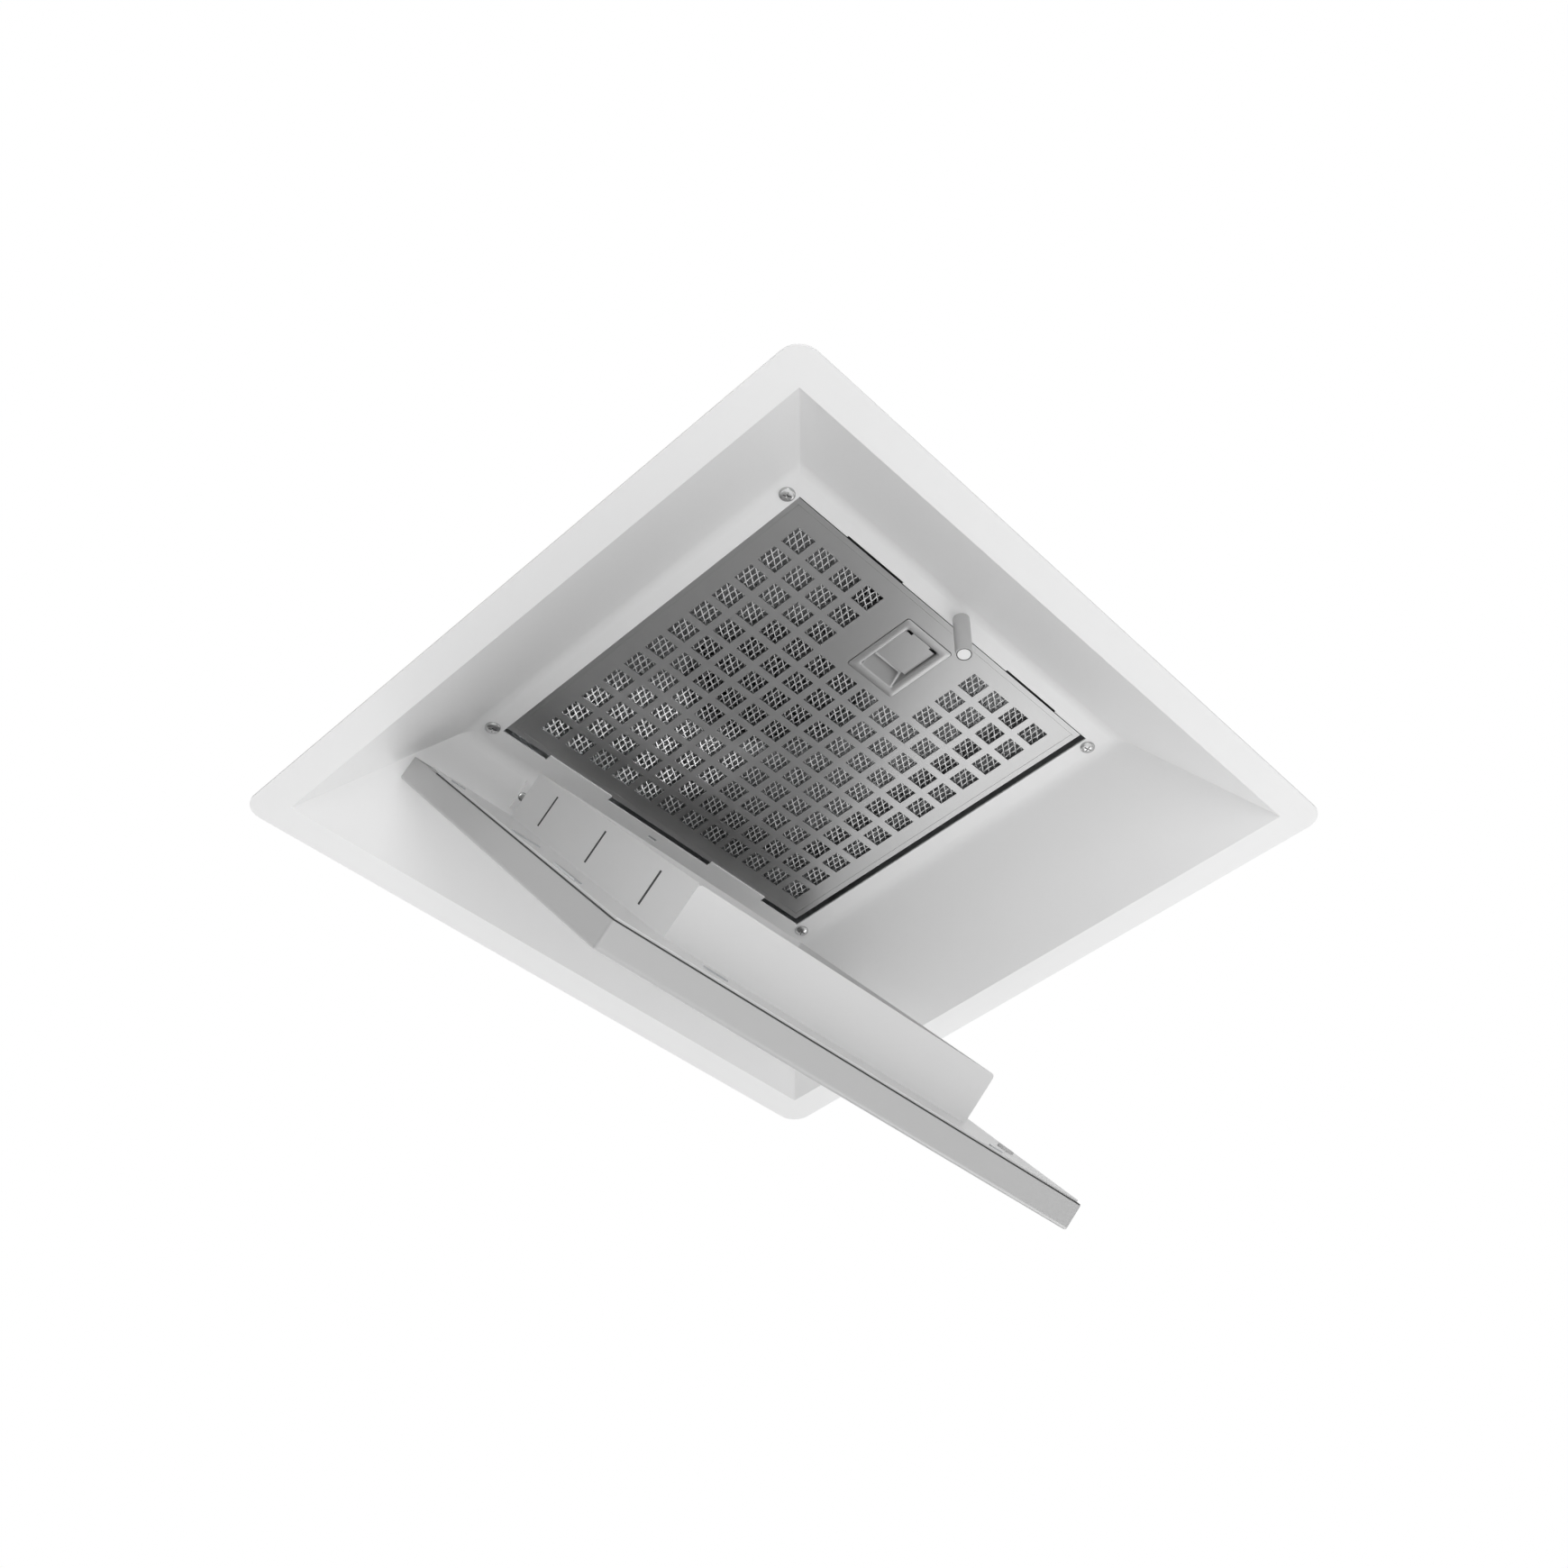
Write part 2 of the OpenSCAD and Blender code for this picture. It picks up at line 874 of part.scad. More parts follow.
module filter_mesh() {
    inner = frame_half - frame_t;
    color("darkgray")
    translate([filter_x, filter_y, filter_z + filter_t])
        difference() {
            block([-inner, -inner, 0], [inner, inner, mesh_t]);
            block(
                [handle_x - filter_x - cup_flange_l / 2 - pad_edge, -pad_clear, -over],
                [inner + over, pad_clear, mesh_t + over]
            );
        }
}

module filter_frame() {
    color("silver")
    translate([filter_x, filter_y, filter_z + filter_t])
        difference() {
            block([-frame_half, -frame_half, 0], [frame_half, frame_half, filter_h]);
            block(
                [-frame_half + frame_t, -frame_half + frame_t, -over],
                [frame_half - frame_t, frame_half - frame_t, filter_h - frame_t]
            );
            block(
                [-frame_half + frame_lip, -frame_half + frame_lip, -over],
                [frame_half - frame_lip, frame_half - frame_lip, filter_h + over]
            );
            block(
                [frame_half - frame_t - over, -strap_w / 2 - tongue_side, tongue_up - strap_air],
                [frame_half + over, strap_w / 2 + tongue_side, tongue_up + tongue_t + strap_air]
            );
        }
}

module handle_cup() {
    color("silver")
    translate([handle_x, filter_y, filter_z + filter_t])
        difference() {
            union() {
                linear_extrude(height = cup_t)
                    rounded(cup_flange_l, cup_flange_w, cup_corner);
                linear_extrude(height = cup_h + cup_t)
                    rounded(cup_l + 2 * cup_t, cup_w + 2 * cup_t, cup_corner + cup_t);
            }
            translate([0, 0, -over])
                linear_extrude(height = cup_h + over)
                    rounded(cup_l, cup_w, cup_corner);
            block(
                [cup_l / 2 - cup_corner - over, -strap_w / 2 - tongue_side, tongue_up - strap_air],
                [cup_l / 2 + cup_t + over, strap_w / 2 + tongue_side, tongue_up + tongue_t + strap_air]
            );
        }
}

module latch_tongue() {
    tip = handle_x + cup_l / 2 - tongue_side;
    half = cup_w / 2 - tongue_side;
    color("silver")
    translate([0, filter_y, tongue_z]) {
        block([tip - tongue_l, -half, 0], [tip - cup_corner, half, tongue_t]);
        block([tip - tongue_l, -half, 0], [tip - tongue_l + tongue_t, half, tongue_lip]);
        block([tip - cup_corner - over, -strap_w / 2, 0], [strap_end, strap_w / 2, tongue_t]);
        block(
            [latch_ear_x, strap_w / 2 - over, 0],
            [latch_ear_x + latch_ear, latch_coil_y + 2 * latch_coil_r, tongue_t]
        );
    }
}

// Closely wound coil along Z, standing on its first ring
module coil(r, wire, n) {
    rotate_extrude()
        for (i = [0 : n - 1])
            translate([r, (2 * i * coil_pitch + 1) * wire])
                circle(wire);
}

module latch_spring() {
    color("silver")
        translate([
            latch_ear_x + latch_ear,
            filter_y + latch_coil_y,
            tongue_z + latch_coil_r + latch_wire_r
        ])
            rotate([0, 90, 0])
                coil(latch_coil_r, latch_wire_r, latch_coil_n);
}

// The blower is drawn with its duct towards +X, then turned so that it leaves over the hinge
module blower_pose() {
    rotate([0, 0, 180])
        children();
}

// Two walls of the housing square to X, each with its flange on the canopy
module housing_ends() {
    flange = housing_half + housing_flange;
    color("lightgray")
    difference() {
        for (s = [0, 1])
            mirror([s, 0, 0]) {
                block([housing_in, -housing_half, housing_z], [housing_half, housing_half, housing_top]);
                block([housing_in, -flange, housing_z], [flange, flange, housing_z + housing_t]);
            }
        blower_pose() {
            block(
                [housing_in - over, duct_y - wall_hole / 2, duct_z - wall_hole / 2],
                [housing_half + over, duct_y + wall_hole / 2, duct_z + wall_hole / 2]
            );
            for (y = [-1, 1], z = [-1, 1])
                rod_x(
                    [housing_half - 2 * over, duct_y + y * duct_rivet, duct_z + z * duct_rivet],
                    small_screw_r + fit,
                    4 * over
                );
        }
        // Window that the filter's latch reaches through to sit over the flange
        block(
            [housing_in - over, filter_y - strap_w / 2 - tongue_side, housing_z + housing_t],
            [housing_half + over, filter_y + strap_w / 2 + tongue_side, tongue_z + tongue_t + strap_air]
        );
        for (p = panel_screw_at)
            rod_z([p[0], p[1], housing_z - over], panel_screw_r + fit, housing_t + 2 * over);
        rod_z([post_x, 0, housing_z - over], post_screw_r + fit, housing_t + 2 * over);
        for (s = [-1, 1], u = side_screw_at, z = [deck_z - deck_lip / 2, housing_top - cover_lip / 2])
            rod_x([s * housing_half - 2 * over, u, z], small_screw_r + fit, 4 * over);
    }
}

// Two walls of the housing square to Y, welded between the ends
module housing_sides() {
    color("lightgray")
    difference() {
        for (s = [0, 1])
            mirror([0, s, 0]) {
                block([-housing_in, housing_in, housing_z], [housing_in, housing_half, housing_top]);
                block(
                    [-housing_in, housing_in, housing_z],
                    [housing_in, housing_half + housing_flange, housing_z + housing_t]
                );
            }
        blower_pose()
            rod_y([gland_x, housing_in - over, gland_z], gland_thread + fit, housing_t + 2 * over);
        for (p = panel_screw_at)
            rod_z([p[0], p[1], housing_z - over], panel_screw_r + fit, housing_t + 2 * over);
        for (s = [-1, 1], u = side_screw_at, z = [deck_z - deck_lip / 2, housing_top - cover_lip / 2])
            rod_y([u, s * housing_half - 2 * over, z], small_screw_r + fit, 4 * over);
        for (s = [-1, 1], x = [-1, 1], b = [-1, 1])
            rod_y(
                [x * hanger_x + b * hanger_bolt_x, s * housing_half - 2 * over, hanger_z - hanger_drop / 2],
                hanger_bolt_r + fit,
                4 * over
            );
    }
}

module housing_cover() {
    outer = housing_half + cover_air + housing_t;
    color("lightgray")
    difference() {
        block([-outer, -outer, housing_top - cover_lip], [outer, outer, housing_top + housing_t]);
        block(
            [-outer + housing_t, -outer + housing_t, housing_top - cover_lip - over],
            [outer - housing_t, outer - housing_t, housing_top]
        );
        for (s = [-1, 1], u = side_screw_at) {
            rod_x([s * housing_half - 3 * over, u, housing_top - cover_lip / 2], small_screw_r + fit, 6 * over);
            rod_y([u, s * housing_half - 3 * over, housing_top - cover_lip / 2], small_screw_r + fit, 6 * over);
        }
    }
}

// A screw lying along X or Y, its head on a wall's outer face
module wall_screw(direction, u, z, face) {
    rotate([0, 0, direction]) {
        rod_x([face - small_l, u, z], small_screw_r, small_l + bite);
        rod_x([face, u, z], small_head, small_head_t);
    }
}

module cover_screws() {
    color("silver")
        for (a = [0, 90, 180, 270], u = side_screw_at)
            wall_screw(a, u, housing_top - cover_lip / 2, housing_half + cover_air + housing_t);
}

module blower_deck() {
    color("lightgray")
    blower_pose()
    difference() {
        block(
            [-housing_in, -housing_in, deck_z - deck_lip],
            [housing_in, housing_in, deck_z]
        );
        block(
            [-housing_in + housing_t, -housing_in + housing_t, deck_z - deck_lip - over],
            [housing_in - housing_t, housing_in - housing_t, deck_z - housing_t]
        );
        rod_z([0, fan_y, deck_z - housing_t - over], inlet_r + inlet_bend, housing_t + 2 * over);
        for (a = [0 : 360 / inlet_screw_n : 359])
            translate([0, fan_y, 0])
                rotate([0, 0, a])
                    rod_z([inlet_screw_pcr, 0, deck_z - housing_t - over], small_screw_r + fit, housing_t + 2 * over);
        for (s = [-1, 1], u = side_screw_at) {
            rod_x([s * housing_in - 2 * over, u, deck_z - deck_lip / 2], small_screw_r + fit, 4 * over);
            rod_y([u, s * housing_in - 2 * over, deck_z - deck_lip / 2], small_screw_r + fit, 4 * over);
        }
        rod_z([cap_x, cap_y, deck_z - housing_t - over], cap_stud_r + fit, housing_t + 2 * over);
        for (p = scroll_feet())
            scroll_foot_place(p)
                rod_z([scroll_foot_reach / 2, 0, deck_z - housing_t - over], small_screw_r + fit, housing_t + 2 * over);
    }
}

module deck_screws() {
    color("silver")
        for (a = [0, 90, 180, 270], u = side_screw_at)
            wall_screw(a, u, deck_z - deck_lip / 2, housing_half);
}

// Scroll outline seen from above: three arcs of growing radius, then the outlet
module scroll_outline(grow) {
    // Square to the first arc's start, so the arcs meet on common tangents
    h = scroll_half;
    x_wall = housing_in;
    intersection() {
        translate([-h, h])
            circle(scroll_r + grow);
        translate([-h, h])
            square(2 * scroll_r);
    }
    intersection() {
        translate([-h, -h])
            circle(scroll_r + scroll_step + grow);
        translate([-h - 2 * scroll_r, -h])
            square(2 * scroll_r);
    }
    intersection() {
        translate([h, -h])
            circle(scroll_r + 2 * scroll_step + grow);
        translate([h - 2 * scroll_r, -h - 2 * scroll_r])
            square(2 * scroll_r);
    }
    // The middle of the casing, the cutoff's corner and the outlet
    translate([-h, -h])
        square([scroll_r + grow, 2 * h]);
    translate([-h, outlet_top])
        square([scroll_r + grow, -h - outlet_top]);
    translate([h, scroll_low - grow])
        square([x_wall - h, outlet_w + 2 * grow]);
}

function scroll_feet() = [[60, 0], [125, 1], [215, 2]];

// Places a foot on the scroll's wall: an angle and the arc it stands on
module scroll_foot_place(p) {
    h = scroll_half;
    centre = p[1] == 0 ? [-h, h] : p[1] == 1 ? [-h, -h] : [h, -h];
    translate([centre[0], centre[1] + fan_y, 0])
        rotate([0, 0, p[0]])
            translate([scroll_r + p[1] * scroll_step + scroll_t, 0, 0])
                children();
}

module volute_shell() {
    color("lightgray")
    blower_pose()
    difference() {
        union() {
            translate([0, fan_y, deck_z])
                linear_extrude(height = scroll_h)
                    difference() {
                        scroll_outline(scroll_t);
                        scroll_outline(0);
                    }
            for (p = scroll_feet())
                scroll_foot_place(p)
                    block(
                        [-scroll_t / 2, -scroll_foot / 2, deck_z],
                        [scroll_foot_reach, scroll_foot / 2, deck_z + scroll_foot_t]
                    );
        }
        for (p = scroll_feet())
            scroll_foot_place(p)
                rod_z([scroll_foot_reach / 2, 0, deck_z - over], small_screw_r + fit, scroll_foot_t + 2 * over);
    }
}

module volute_cover() {
    color("lightgray")
    blower_pose()
    translate([0, fan_y, scroll_z])
        linear_extrude(height = cover_t)
            difference() {
                scroll_outline(scroll_t);
                circle(motor_hole);
                for (a = [0 : 360 / damper_n : 359])
                    rotate(a + damper_turn)
                        translate([damper_at, 0])
                            circle(damper_screw_r);
            }
}

module volute_screws() {
    color("silver")
    blower_pose()
        for (p = scroll_feet())
            scroll_foot_place(p) {
                rod_z(
                    [scroll_foot_reach / 2, 0, deck_z - housing_t - over],
                    small_screw_r,
                    housing_t + scroll_foot_t + over + bite
                );
                rod_z([scroll_foot_reach / 2, 0, deck_z + scroll_foot_t], small_head, small_head_t);
            }
}

module inlet_ring() {
    face = deck_z - housing_t;
    color("silver")
    blower_pose()
    translate([0, fan_y, 0])
    difference() {
        union() {
            rotate_extrude() {
                translate([inlet_r, face - inlet_t + inlet_bend - bite])
                    square([inlet_t, impeller_z + ring_h - face + inlet_t - inlet_bend + bite]);
                translate([inlet_r + inlet_bend - bite, face - inlet_t])
                    square([inlet_flange - inlet_r - inlet_bend + bite, inlet_t]);
            }
            rotate_extrude()
                intersection() {
                    translate([inlet_r + inlet_bend, face - inlet_t + inlet_bend])
                        difference() {
                            circle(inlet_bend);
                            circle(inlet_bend - inlet_t);
                        }
                    translate([inlet_r, face - inlet_t])
                        square([inlet_bend, inlet_bend]);
                }
        }
        for (a = [0 : 360 / inlet_screw_n : 359])
            rotate([0, 0, a])
                rod_z([inlet_screw_pcr, 0, face - inlet_t - over], small_screw_r + fit, inlet_t + 2 * over);
    }
}

module inlet_screws() {
    color("silver")
    blower_pose()
    translate([0, fan_y, 0])
        for (a = [0 : 360 / inlet_screw_n : 359])
            rotate([0, 0, a]) {
                rod_z(
                    [inlet_screw_pcr, 0, deck_z - housing_t - inlet_t - bite],
                    small_screw_r,
                    housing_t + inlet_t + bite
                );
                rod_z([inlet_screw_pcr, 0, deck_z - housing_t - inlet_t - small_head_t], small_head, small_head_t);
            }
}

module impeller() {
    color("gray")
    blower_pose()
    translate([0, fan_y, 0])
    difference() {
        union() {
            rod_z([0, 0, impeller_top - disc_t], impeller_r, disc_t);
            rod_z([0, 0, impeller_top - hub_h + disc_t * 2], hub_r, hub_h);
            difference() {
                rod_z([0, 0, impeller_z], impeller_r, ring_h);
                rod_z([0, 0, impeller_z - over], impeller_r - blade_l + blade_t, ring_h + 2 * over);
            }
            translate([0, 0, impeller_z])
                linear_extrude(height = impeller_h - disc_t + bite)
                    for (i = [0 : blade_n - 1])
                        rotate(i * 360 / blade_n)
                            translate([impeller_r - blade_t, 0])
                                rotate(180 - blade_angle)
                                    translate([0, -blade_t / 2])
                                        square([blade_l, blade_t]);
        }
        rod_z([0, 0, impeller_top - hub_h - over], shaft_r, hub_h + 4 * disc_t + 2 * over);
    }
}

module fan_shaft() {
    low = impeller_top - hub_h + disc_t;
    color("silver")
    blower_pose()
        rod_z([0, fan_y, low], shaft_r, motor_z + bearing_d - over - low);
}

module motor_body() {
    color("dimgray")
    blower_pose()
    difference() {
        union() {
            rod_z([0, fan_y, motor_z], motor_r, motor_h);
            rod_z([0, fan_y, motor_z + motor_h - bite], motor_r / 2, damper_h / 2 + bite);
        }
        rod_z([0, fan_y, motor_z - over], shaft_r + run_fit, bearing_d + over);
    }
}

module motor_bracket() {
    color("silver")
    blower_pose()
    translate([0, fan_y, scroll_z + cover_t + damper_h])
        linear_extrude(height = bracket_plate_t)
            difference() {
                circle(bracket_r);
                circle(motor_r);
                for (a = [0 : 360 / damper_n : 359])
                    rotate(a + damper_turn)
                        translate([damper_at, 0])
                            circle(damper_screw_r + fit);
            }
}

module motor_mounts() {
    color("darkslategray")
    blower_pose()
    translate([0, fan_y, scroll_z + cover_t])
        for (a = [0 : 360 / damper_n : 359])
            rotate([0, 0, a + damper_turn])
                difference() {
                    rod_z([damper_at, 0, 0], damper_r, damper_h);
                    rod_z([damper_at, 0, -over], damper_bore, damper_h + 2 * over);
                }
}

module motor_screws() {
    top = scroll_z + cover_t + damper_h + bracket_plate_t;
    color("silver")
    blower_pose()
    translate([0, fan_y, 0])
        for (a = [0 : 360 / damper_n : 359])
            rotate([0, 0, a + damper_turn]) {
                rod_z([damper_at, 0, scroll_z - damper_head_t], damper_screw_r, top - scroll_z + damper_head_t + bite);
                rod_z([damper_at, 0, top], damper_head, damper_head_t);
            }
}

// Duct spigot on the side wall, with a butterfly backdraft damper inside
module spigot() {
    color("lightgray")
    blower_pose()
    translate([housing_half, duct_y, duct_z])
    difference() {
        union() {
            block(
                [0, -duct_flange / 2, -duct_flange / 2],
                [duct_flange_t, duct_flange / 2, duct_flange / 2]
            );
            rod_x([0, 0, 0], duct_r, duct_l);
        }
        rod_x([-over, 0, 0], duct_r - duct_t, duct_l + 2 * over);
        rod_z([flap_x - housing_half, 0, -duct_r - over], spindle_r + run_fit, 2 * duct_r + 2 * over);
        for (y = [-1, 1], z = [-1, 1])
            rod_x([-over, y * duct_rivet, z * duct_rivet], small_screw_r + fit, duct_flange_t + 2 * over);
    }
}

module spigot_rivets() {
    color("silver")
    blower_pose()
        for (y = [-1, 1], z = [-1, 1]) {
            rod_x(
                [housing_in, duct_y + y * duct_rivet, duct_z + z * duct_rivet],
                small_screw_r,
                housing_t + duct_flange_t + bite
            );
            rod_x(
                [housing_half + duct_flange_t, duct_y + y * duct_rivet, duct_z + z * duct_rivet],
                small_head,
                small_head_t
            );
        }
}

module flap_spindle() {
    color("silver")
    blower_pose()
        rod_z([flap_x, duct_y, duct_z - duct_r + fit], spindle_r, 2 * (duct_r - fit));
}

// One half-moon flap: side -1 or +1, and the middles of its two knuckles
module flap(side, knuckles) {
    translate([flap_x, duct_y, duct_z])
    difference() {
        union() {
            intersection() {
                rod_x([-flap_t / 2, 0, 0], flap_r, flap_t);
                translate([-flap_t / 2, side > 0 ? flap_start : -flap_r - over, -flap_r])
                    cube([flap_t, flap_r + over - flap_start, 2 * flap_r]);
            }
            for (k = knuckles) {
                rod_z([0, 0, (k - 0.5) * knuckle_step - knuckle_l / 2], knuckle_r, knuckle_l);
                translate([
                    -flap_t / 2,
                    side > 0 ? 0 : -flap_start - bite,
                    (k - 0.5) * knuckle_step - knuckle_l / 2
                ])
                    cube([flap_t, flap_start + bite, knuckle_l]);
            }
        }
        rod_z([0, 0, -flap_r], spindle_r + run_fit, 2 * flap_r);
    }
}

module flap_left() {
    color("lightgray")
    blower_pose()
        flap(-1, [-1, 1]);
}

module flap_right() {
    color("lightgray")
    blower_pose()
        flap(1, [0, 2]);
}

// Torsion coil round the spindle, its leg along the flap's outer face
module flap_coil(side, z, leg_z) {
    translate([flap_x, duct_y, duct_z]) {
        translate([0, 0, z])
            coil(coil_r, coil_wire, coil_n);
        rod_y(
            [flap_t / 2 + coil_wire, side > 0 ? coil_r - bite : -coil_r + bite - coil_leg, leg_z],
            coil_wire,
            coil_leg
        );
    }
}

module flap_spring_left() {
    color("silver")
    blower_pose()
        flap_coil(-1, -coil_z - 2 * coil_n * coil_wire * coil_pitch, -coil_z - coil_wire);
}

module flap_spring_right() {
    color("silver")
    blower_pose()
        flap_coil(1, coil_z, coil_z + coil_wire);
}

// Terminal box in the corner beside the scroll
module terminal_box() {
    color("whitesmoke")
    blower_pose()
    difference() {
        block([box_x[0], box_y, deck_z], [box_x[1], housing_in, deck_z + box_h]);
        block(
            [box_x[0] + box_t, box_y + box_t, deck_z + box_t],
            [box_x[1] - box_t, housing_in - box_t, deck_z + box_h + over]
        );
        rod_y([gland_x, housing_in - box_t - over, gland_z], gland_thread + fit, box_t + 2 * over);
        rod_y([lead_x, box_y - over, lead_low], lead_r + fit, box_t + 2 * over);
    }
}

module terminal_lid() {
    z = deck_z + box_h;
    inner = box_t + fit;
    color("whitesmoke")
    blower_pose() {
        block([box_x[0], box_y, z], [box_x[1], housing_in, z + lid_t]);
        block(
            [box_x[0] + inner, box_y + inner, z - lid_lap],
            [box_x[1] - inner, housing_in - inner, z + bite]
        );
    }
}

module terminal_block() {
    color("white")
    blower_pose()
    translate([block_x, block_y, deck_z + box_t])
    difference() {
        block([-block_l / 2, -block_w / 2, 0], [block_l / 2, block_w / 2, block_h]);
        for (i = [-1, 0, 1])
            rod_z([i * block_l / 3, 0, block_h / 2], block_screw_r, block_h);
    }
}

module cable_gland() {
    inside = housing_in - box_t - gland_nut_t - over;
    color("dimgray")
    blower_pose()
    translate([gland_x, 0, gland_z])
    difference() {
        union() {
            rod_y([0, inside, 0], gland_thread, housing_half - inside + bite);
            translate([0, housing_half, 0])
                rotate([-90, 30, 0])
                    cylinder(r = gland_hex, h = gland_hex_t, $fn = 6);
            rod_y([0, housing_half + gland_hex_t - bite, 0], gland_cap, gland_cap_l + bite);
        }
        rod_y([0, inside - over, 0], gland_r, housing_half - inside + gland_hex_t + gland_cap_l + 2 * over);
    }
}

module gland_nut() {
    color("dimgray")
    blower_pose()
    translate([gland_x, housing_in - box_t - gland_nut_t, gland_z])
        rotate([-90, 0, 0])
            difference() {
                cylinder(r = gland_nut_r, h = gland_nut_t, $fn = 6);
                translate([0, 0, -over])
                    cylinder(r = gland_thread, h = gland_nut_t + 2 * over);
            }
}

module capacitor() {
    color("whitesmoke")
    blower_pose() {
        rod_z([cap_x, cap_y, deck_z], cap_r, cap_h);
        rod_z([cap_x, cap_y, deck_z - cap_stud_l], cap_stud_r, cap_stud_l + bite);
    }
}

// Quarter ring of cable, from +X to +Y about its middle
module lead_corner() {
    rotate_extrude(angle = 90)
        translate([lead_bend, 0])
            circle(lead_r);
}

module motor_lead() {
    color("dimgray")
    blower_pose() {
        rod_x([motor_r, fan_y, lead_z], lead_r, lead_x - lead_bend - motor_r);
        translate([lead_x - lead_bend, fan_y, lead_z - lead_bend])
            rotate([90, 0, 0])
                lead_corner();
        rod_z([lead_x, fan_y, lead_low + lead_bend], lead_r, lead_z - lead_low - 2 * lead_bend);
        translate([lead_x, fan_y + lead_bend, lead_low + lead_bend])
            rotate([-90, 0, -90])
                lead_corner();
        rod_y([lead_x, fan_y + lead_bend, lead_low], lead_r, box_y + lead_in - fan_y - lead_bend);
    }
}

// Four hanger brackets on the housing's side walls, slotted for ceiling rods
module hanger_brackets() {
    color("silver")
        for (s = [-1, 1], x = [-hanger_x, hanger_x])
            translate([x, 0, 0])
            mirror([0, s > 0 ? 0 : 1, 0])
            difference() {
                union() {
                    block(
                        [-hanger_w / 2, housing_half, hanger_z - hanger_drop],
                        [hanger_w / 2, housing_half + hanger_t, hanger_z]
                    );
                    block(
                        [-hanger_w / 2, housing_half, hanger_z - hanger_t],
                        [hanger_w / 2, housing_half + hanger_reach, hanger_z]
                    );
                }
                translate([0, hanger_y, hanger_z - hanger_t - over])
                    linear_extrude(height = hanger_t + 2 * over) {
                        square([hanger_slot_l - hanger_slot_w, hanger_slot_w], center = true);
                        for (e = [-1, 1])
                            translate([e * (hanger_slot_l - hanger_slot_w) / 2, 0])
                                circle(hanger_slot_w / 2);
                    }
                for (b = [-1, 1])
                    rod_y(
                        [b * hanger_bolt_x, housing_half - over, hanger_z - hanger_drop / 2],
                        hanger_bolt_r + fit,
                        hanger_t + 2 * over
                    );
            }
}

module hanger_bolts() {
    color("silver")
        for (s = [-1, 1], x = [-hanger_x, hanger_x], b = [-1, 1])
            translate([x + b * hanger_bolt_x, 0, hanger_z - hanger_drop / 2])
            mirror([0, s > 0 ? 0 : 1, 0]) {
                rod_y([0, housing_half + hanger_t - hanger_bolt_l, 0], hanger_bolt_r, hanger_bolt_l + bite);
                rod_y([0, housing_half + hanger_t, 0], hanger_bolt_head, hanger_bolt_h);
            }
}

canopy();
panel_screws();
magnet_post();
post_magnet();
post_screw();
hinge_brackets();
bracket_rivets();
door_pan();
door_back_plate();
door_collar();
door_clips();
collar_rivets();
door_buffer();
door_ears();
hinge_pins();
filter_face();
filter_mesh();
filter_frame();
handle_cup();
latch_tongue();
latch_spring();
housing_ends();
housing_sides();
housing_cover();
cover_screws();
blower_deck();
deck_screws();
volute_shell();
volute_cover();
volute_screws();
inlet_ring();
inlet_screws();
impeller();
fan_shaft();
motor_body();
motor_bracket();
motor_mounts();
motor_screws();
spigot();
spigot_rivets();
flap_spindle();
flap_left();
flap_right();
flap_spring_left();
flap_spring_right();
terminal_box();
terminal_lid();
terminal_block();
cable_gland();
gland_nut();
capacitor();
motor_lead();
hanger_brackets();
hanger_bolts();
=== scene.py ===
"""Ceiling range hood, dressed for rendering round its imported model."""
import json
from collections import namedtuple
from math import cos, pi, radians, sin

import bmesh
import bpy
from mathutils import Euler, Matrix, Vector


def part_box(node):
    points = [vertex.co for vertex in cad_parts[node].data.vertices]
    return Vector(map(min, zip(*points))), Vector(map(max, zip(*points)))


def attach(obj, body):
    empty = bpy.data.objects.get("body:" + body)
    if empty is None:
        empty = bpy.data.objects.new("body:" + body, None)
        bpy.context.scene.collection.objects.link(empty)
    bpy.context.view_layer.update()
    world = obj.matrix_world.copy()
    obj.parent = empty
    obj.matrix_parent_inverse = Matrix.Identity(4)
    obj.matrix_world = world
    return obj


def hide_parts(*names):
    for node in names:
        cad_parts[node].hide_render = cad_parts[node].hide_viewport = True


bl_info = {
    "name": "Ceiling Range Hood",
    "version": (1, 0, 0),
    "blender": (4, 5, 0),
    "location": "View3D > Sidebar > Hood",
    "description": "Materials, fasteners, filter mesh and stage of a ceiling range hood",
    "category": "Object",
}

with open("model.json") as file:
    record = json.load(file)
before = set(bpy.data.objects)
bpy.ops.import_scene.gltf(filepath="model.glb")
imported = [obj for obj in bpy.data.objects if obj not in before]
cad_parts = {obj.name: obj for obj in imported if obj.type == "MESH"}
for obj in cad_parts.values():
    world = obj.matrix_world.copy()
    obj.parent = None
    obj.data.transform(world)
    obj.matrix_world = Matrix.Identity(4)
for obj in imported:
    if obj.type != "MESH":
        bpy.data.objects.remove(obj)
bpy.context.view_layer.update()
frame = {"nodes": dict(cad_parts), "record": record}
# How far the door hangs open at rest, and how far the canopy's slopes lean from the vertical
DOOR_OPEN = radians(50.3)
SLOPE_LEAN = radians(43.63)

Head = namedtuple("Head", "radius height shank cross")
# Screw and rivet heads, and whether a cross is sunk into them
PANEL_SCREW = Head(radius=0.00625, height=0.0026, shank=0.0020, cross=True)
SHEET_SCREW = Head(radius=0.0036, height=0.0020, shank=0.0019, cross=True)
SPIGOT_RIVET = Head(radius=0.0036, height=0.0016, shank=0.0019, cross=False)
COLLAR_RIVET = Head(radius=0.0032, height=0.0012, shank=0.0014, cross=False)
SLOPE_RIVET = Head(radius=0.0040, height=0.0012, shank=0.0018, cross=False)
# A low power of the height flattens a screw's dome, and a rivet's stays round
SCREW_POWER, RIVET_POWER = 0.55, 1.0
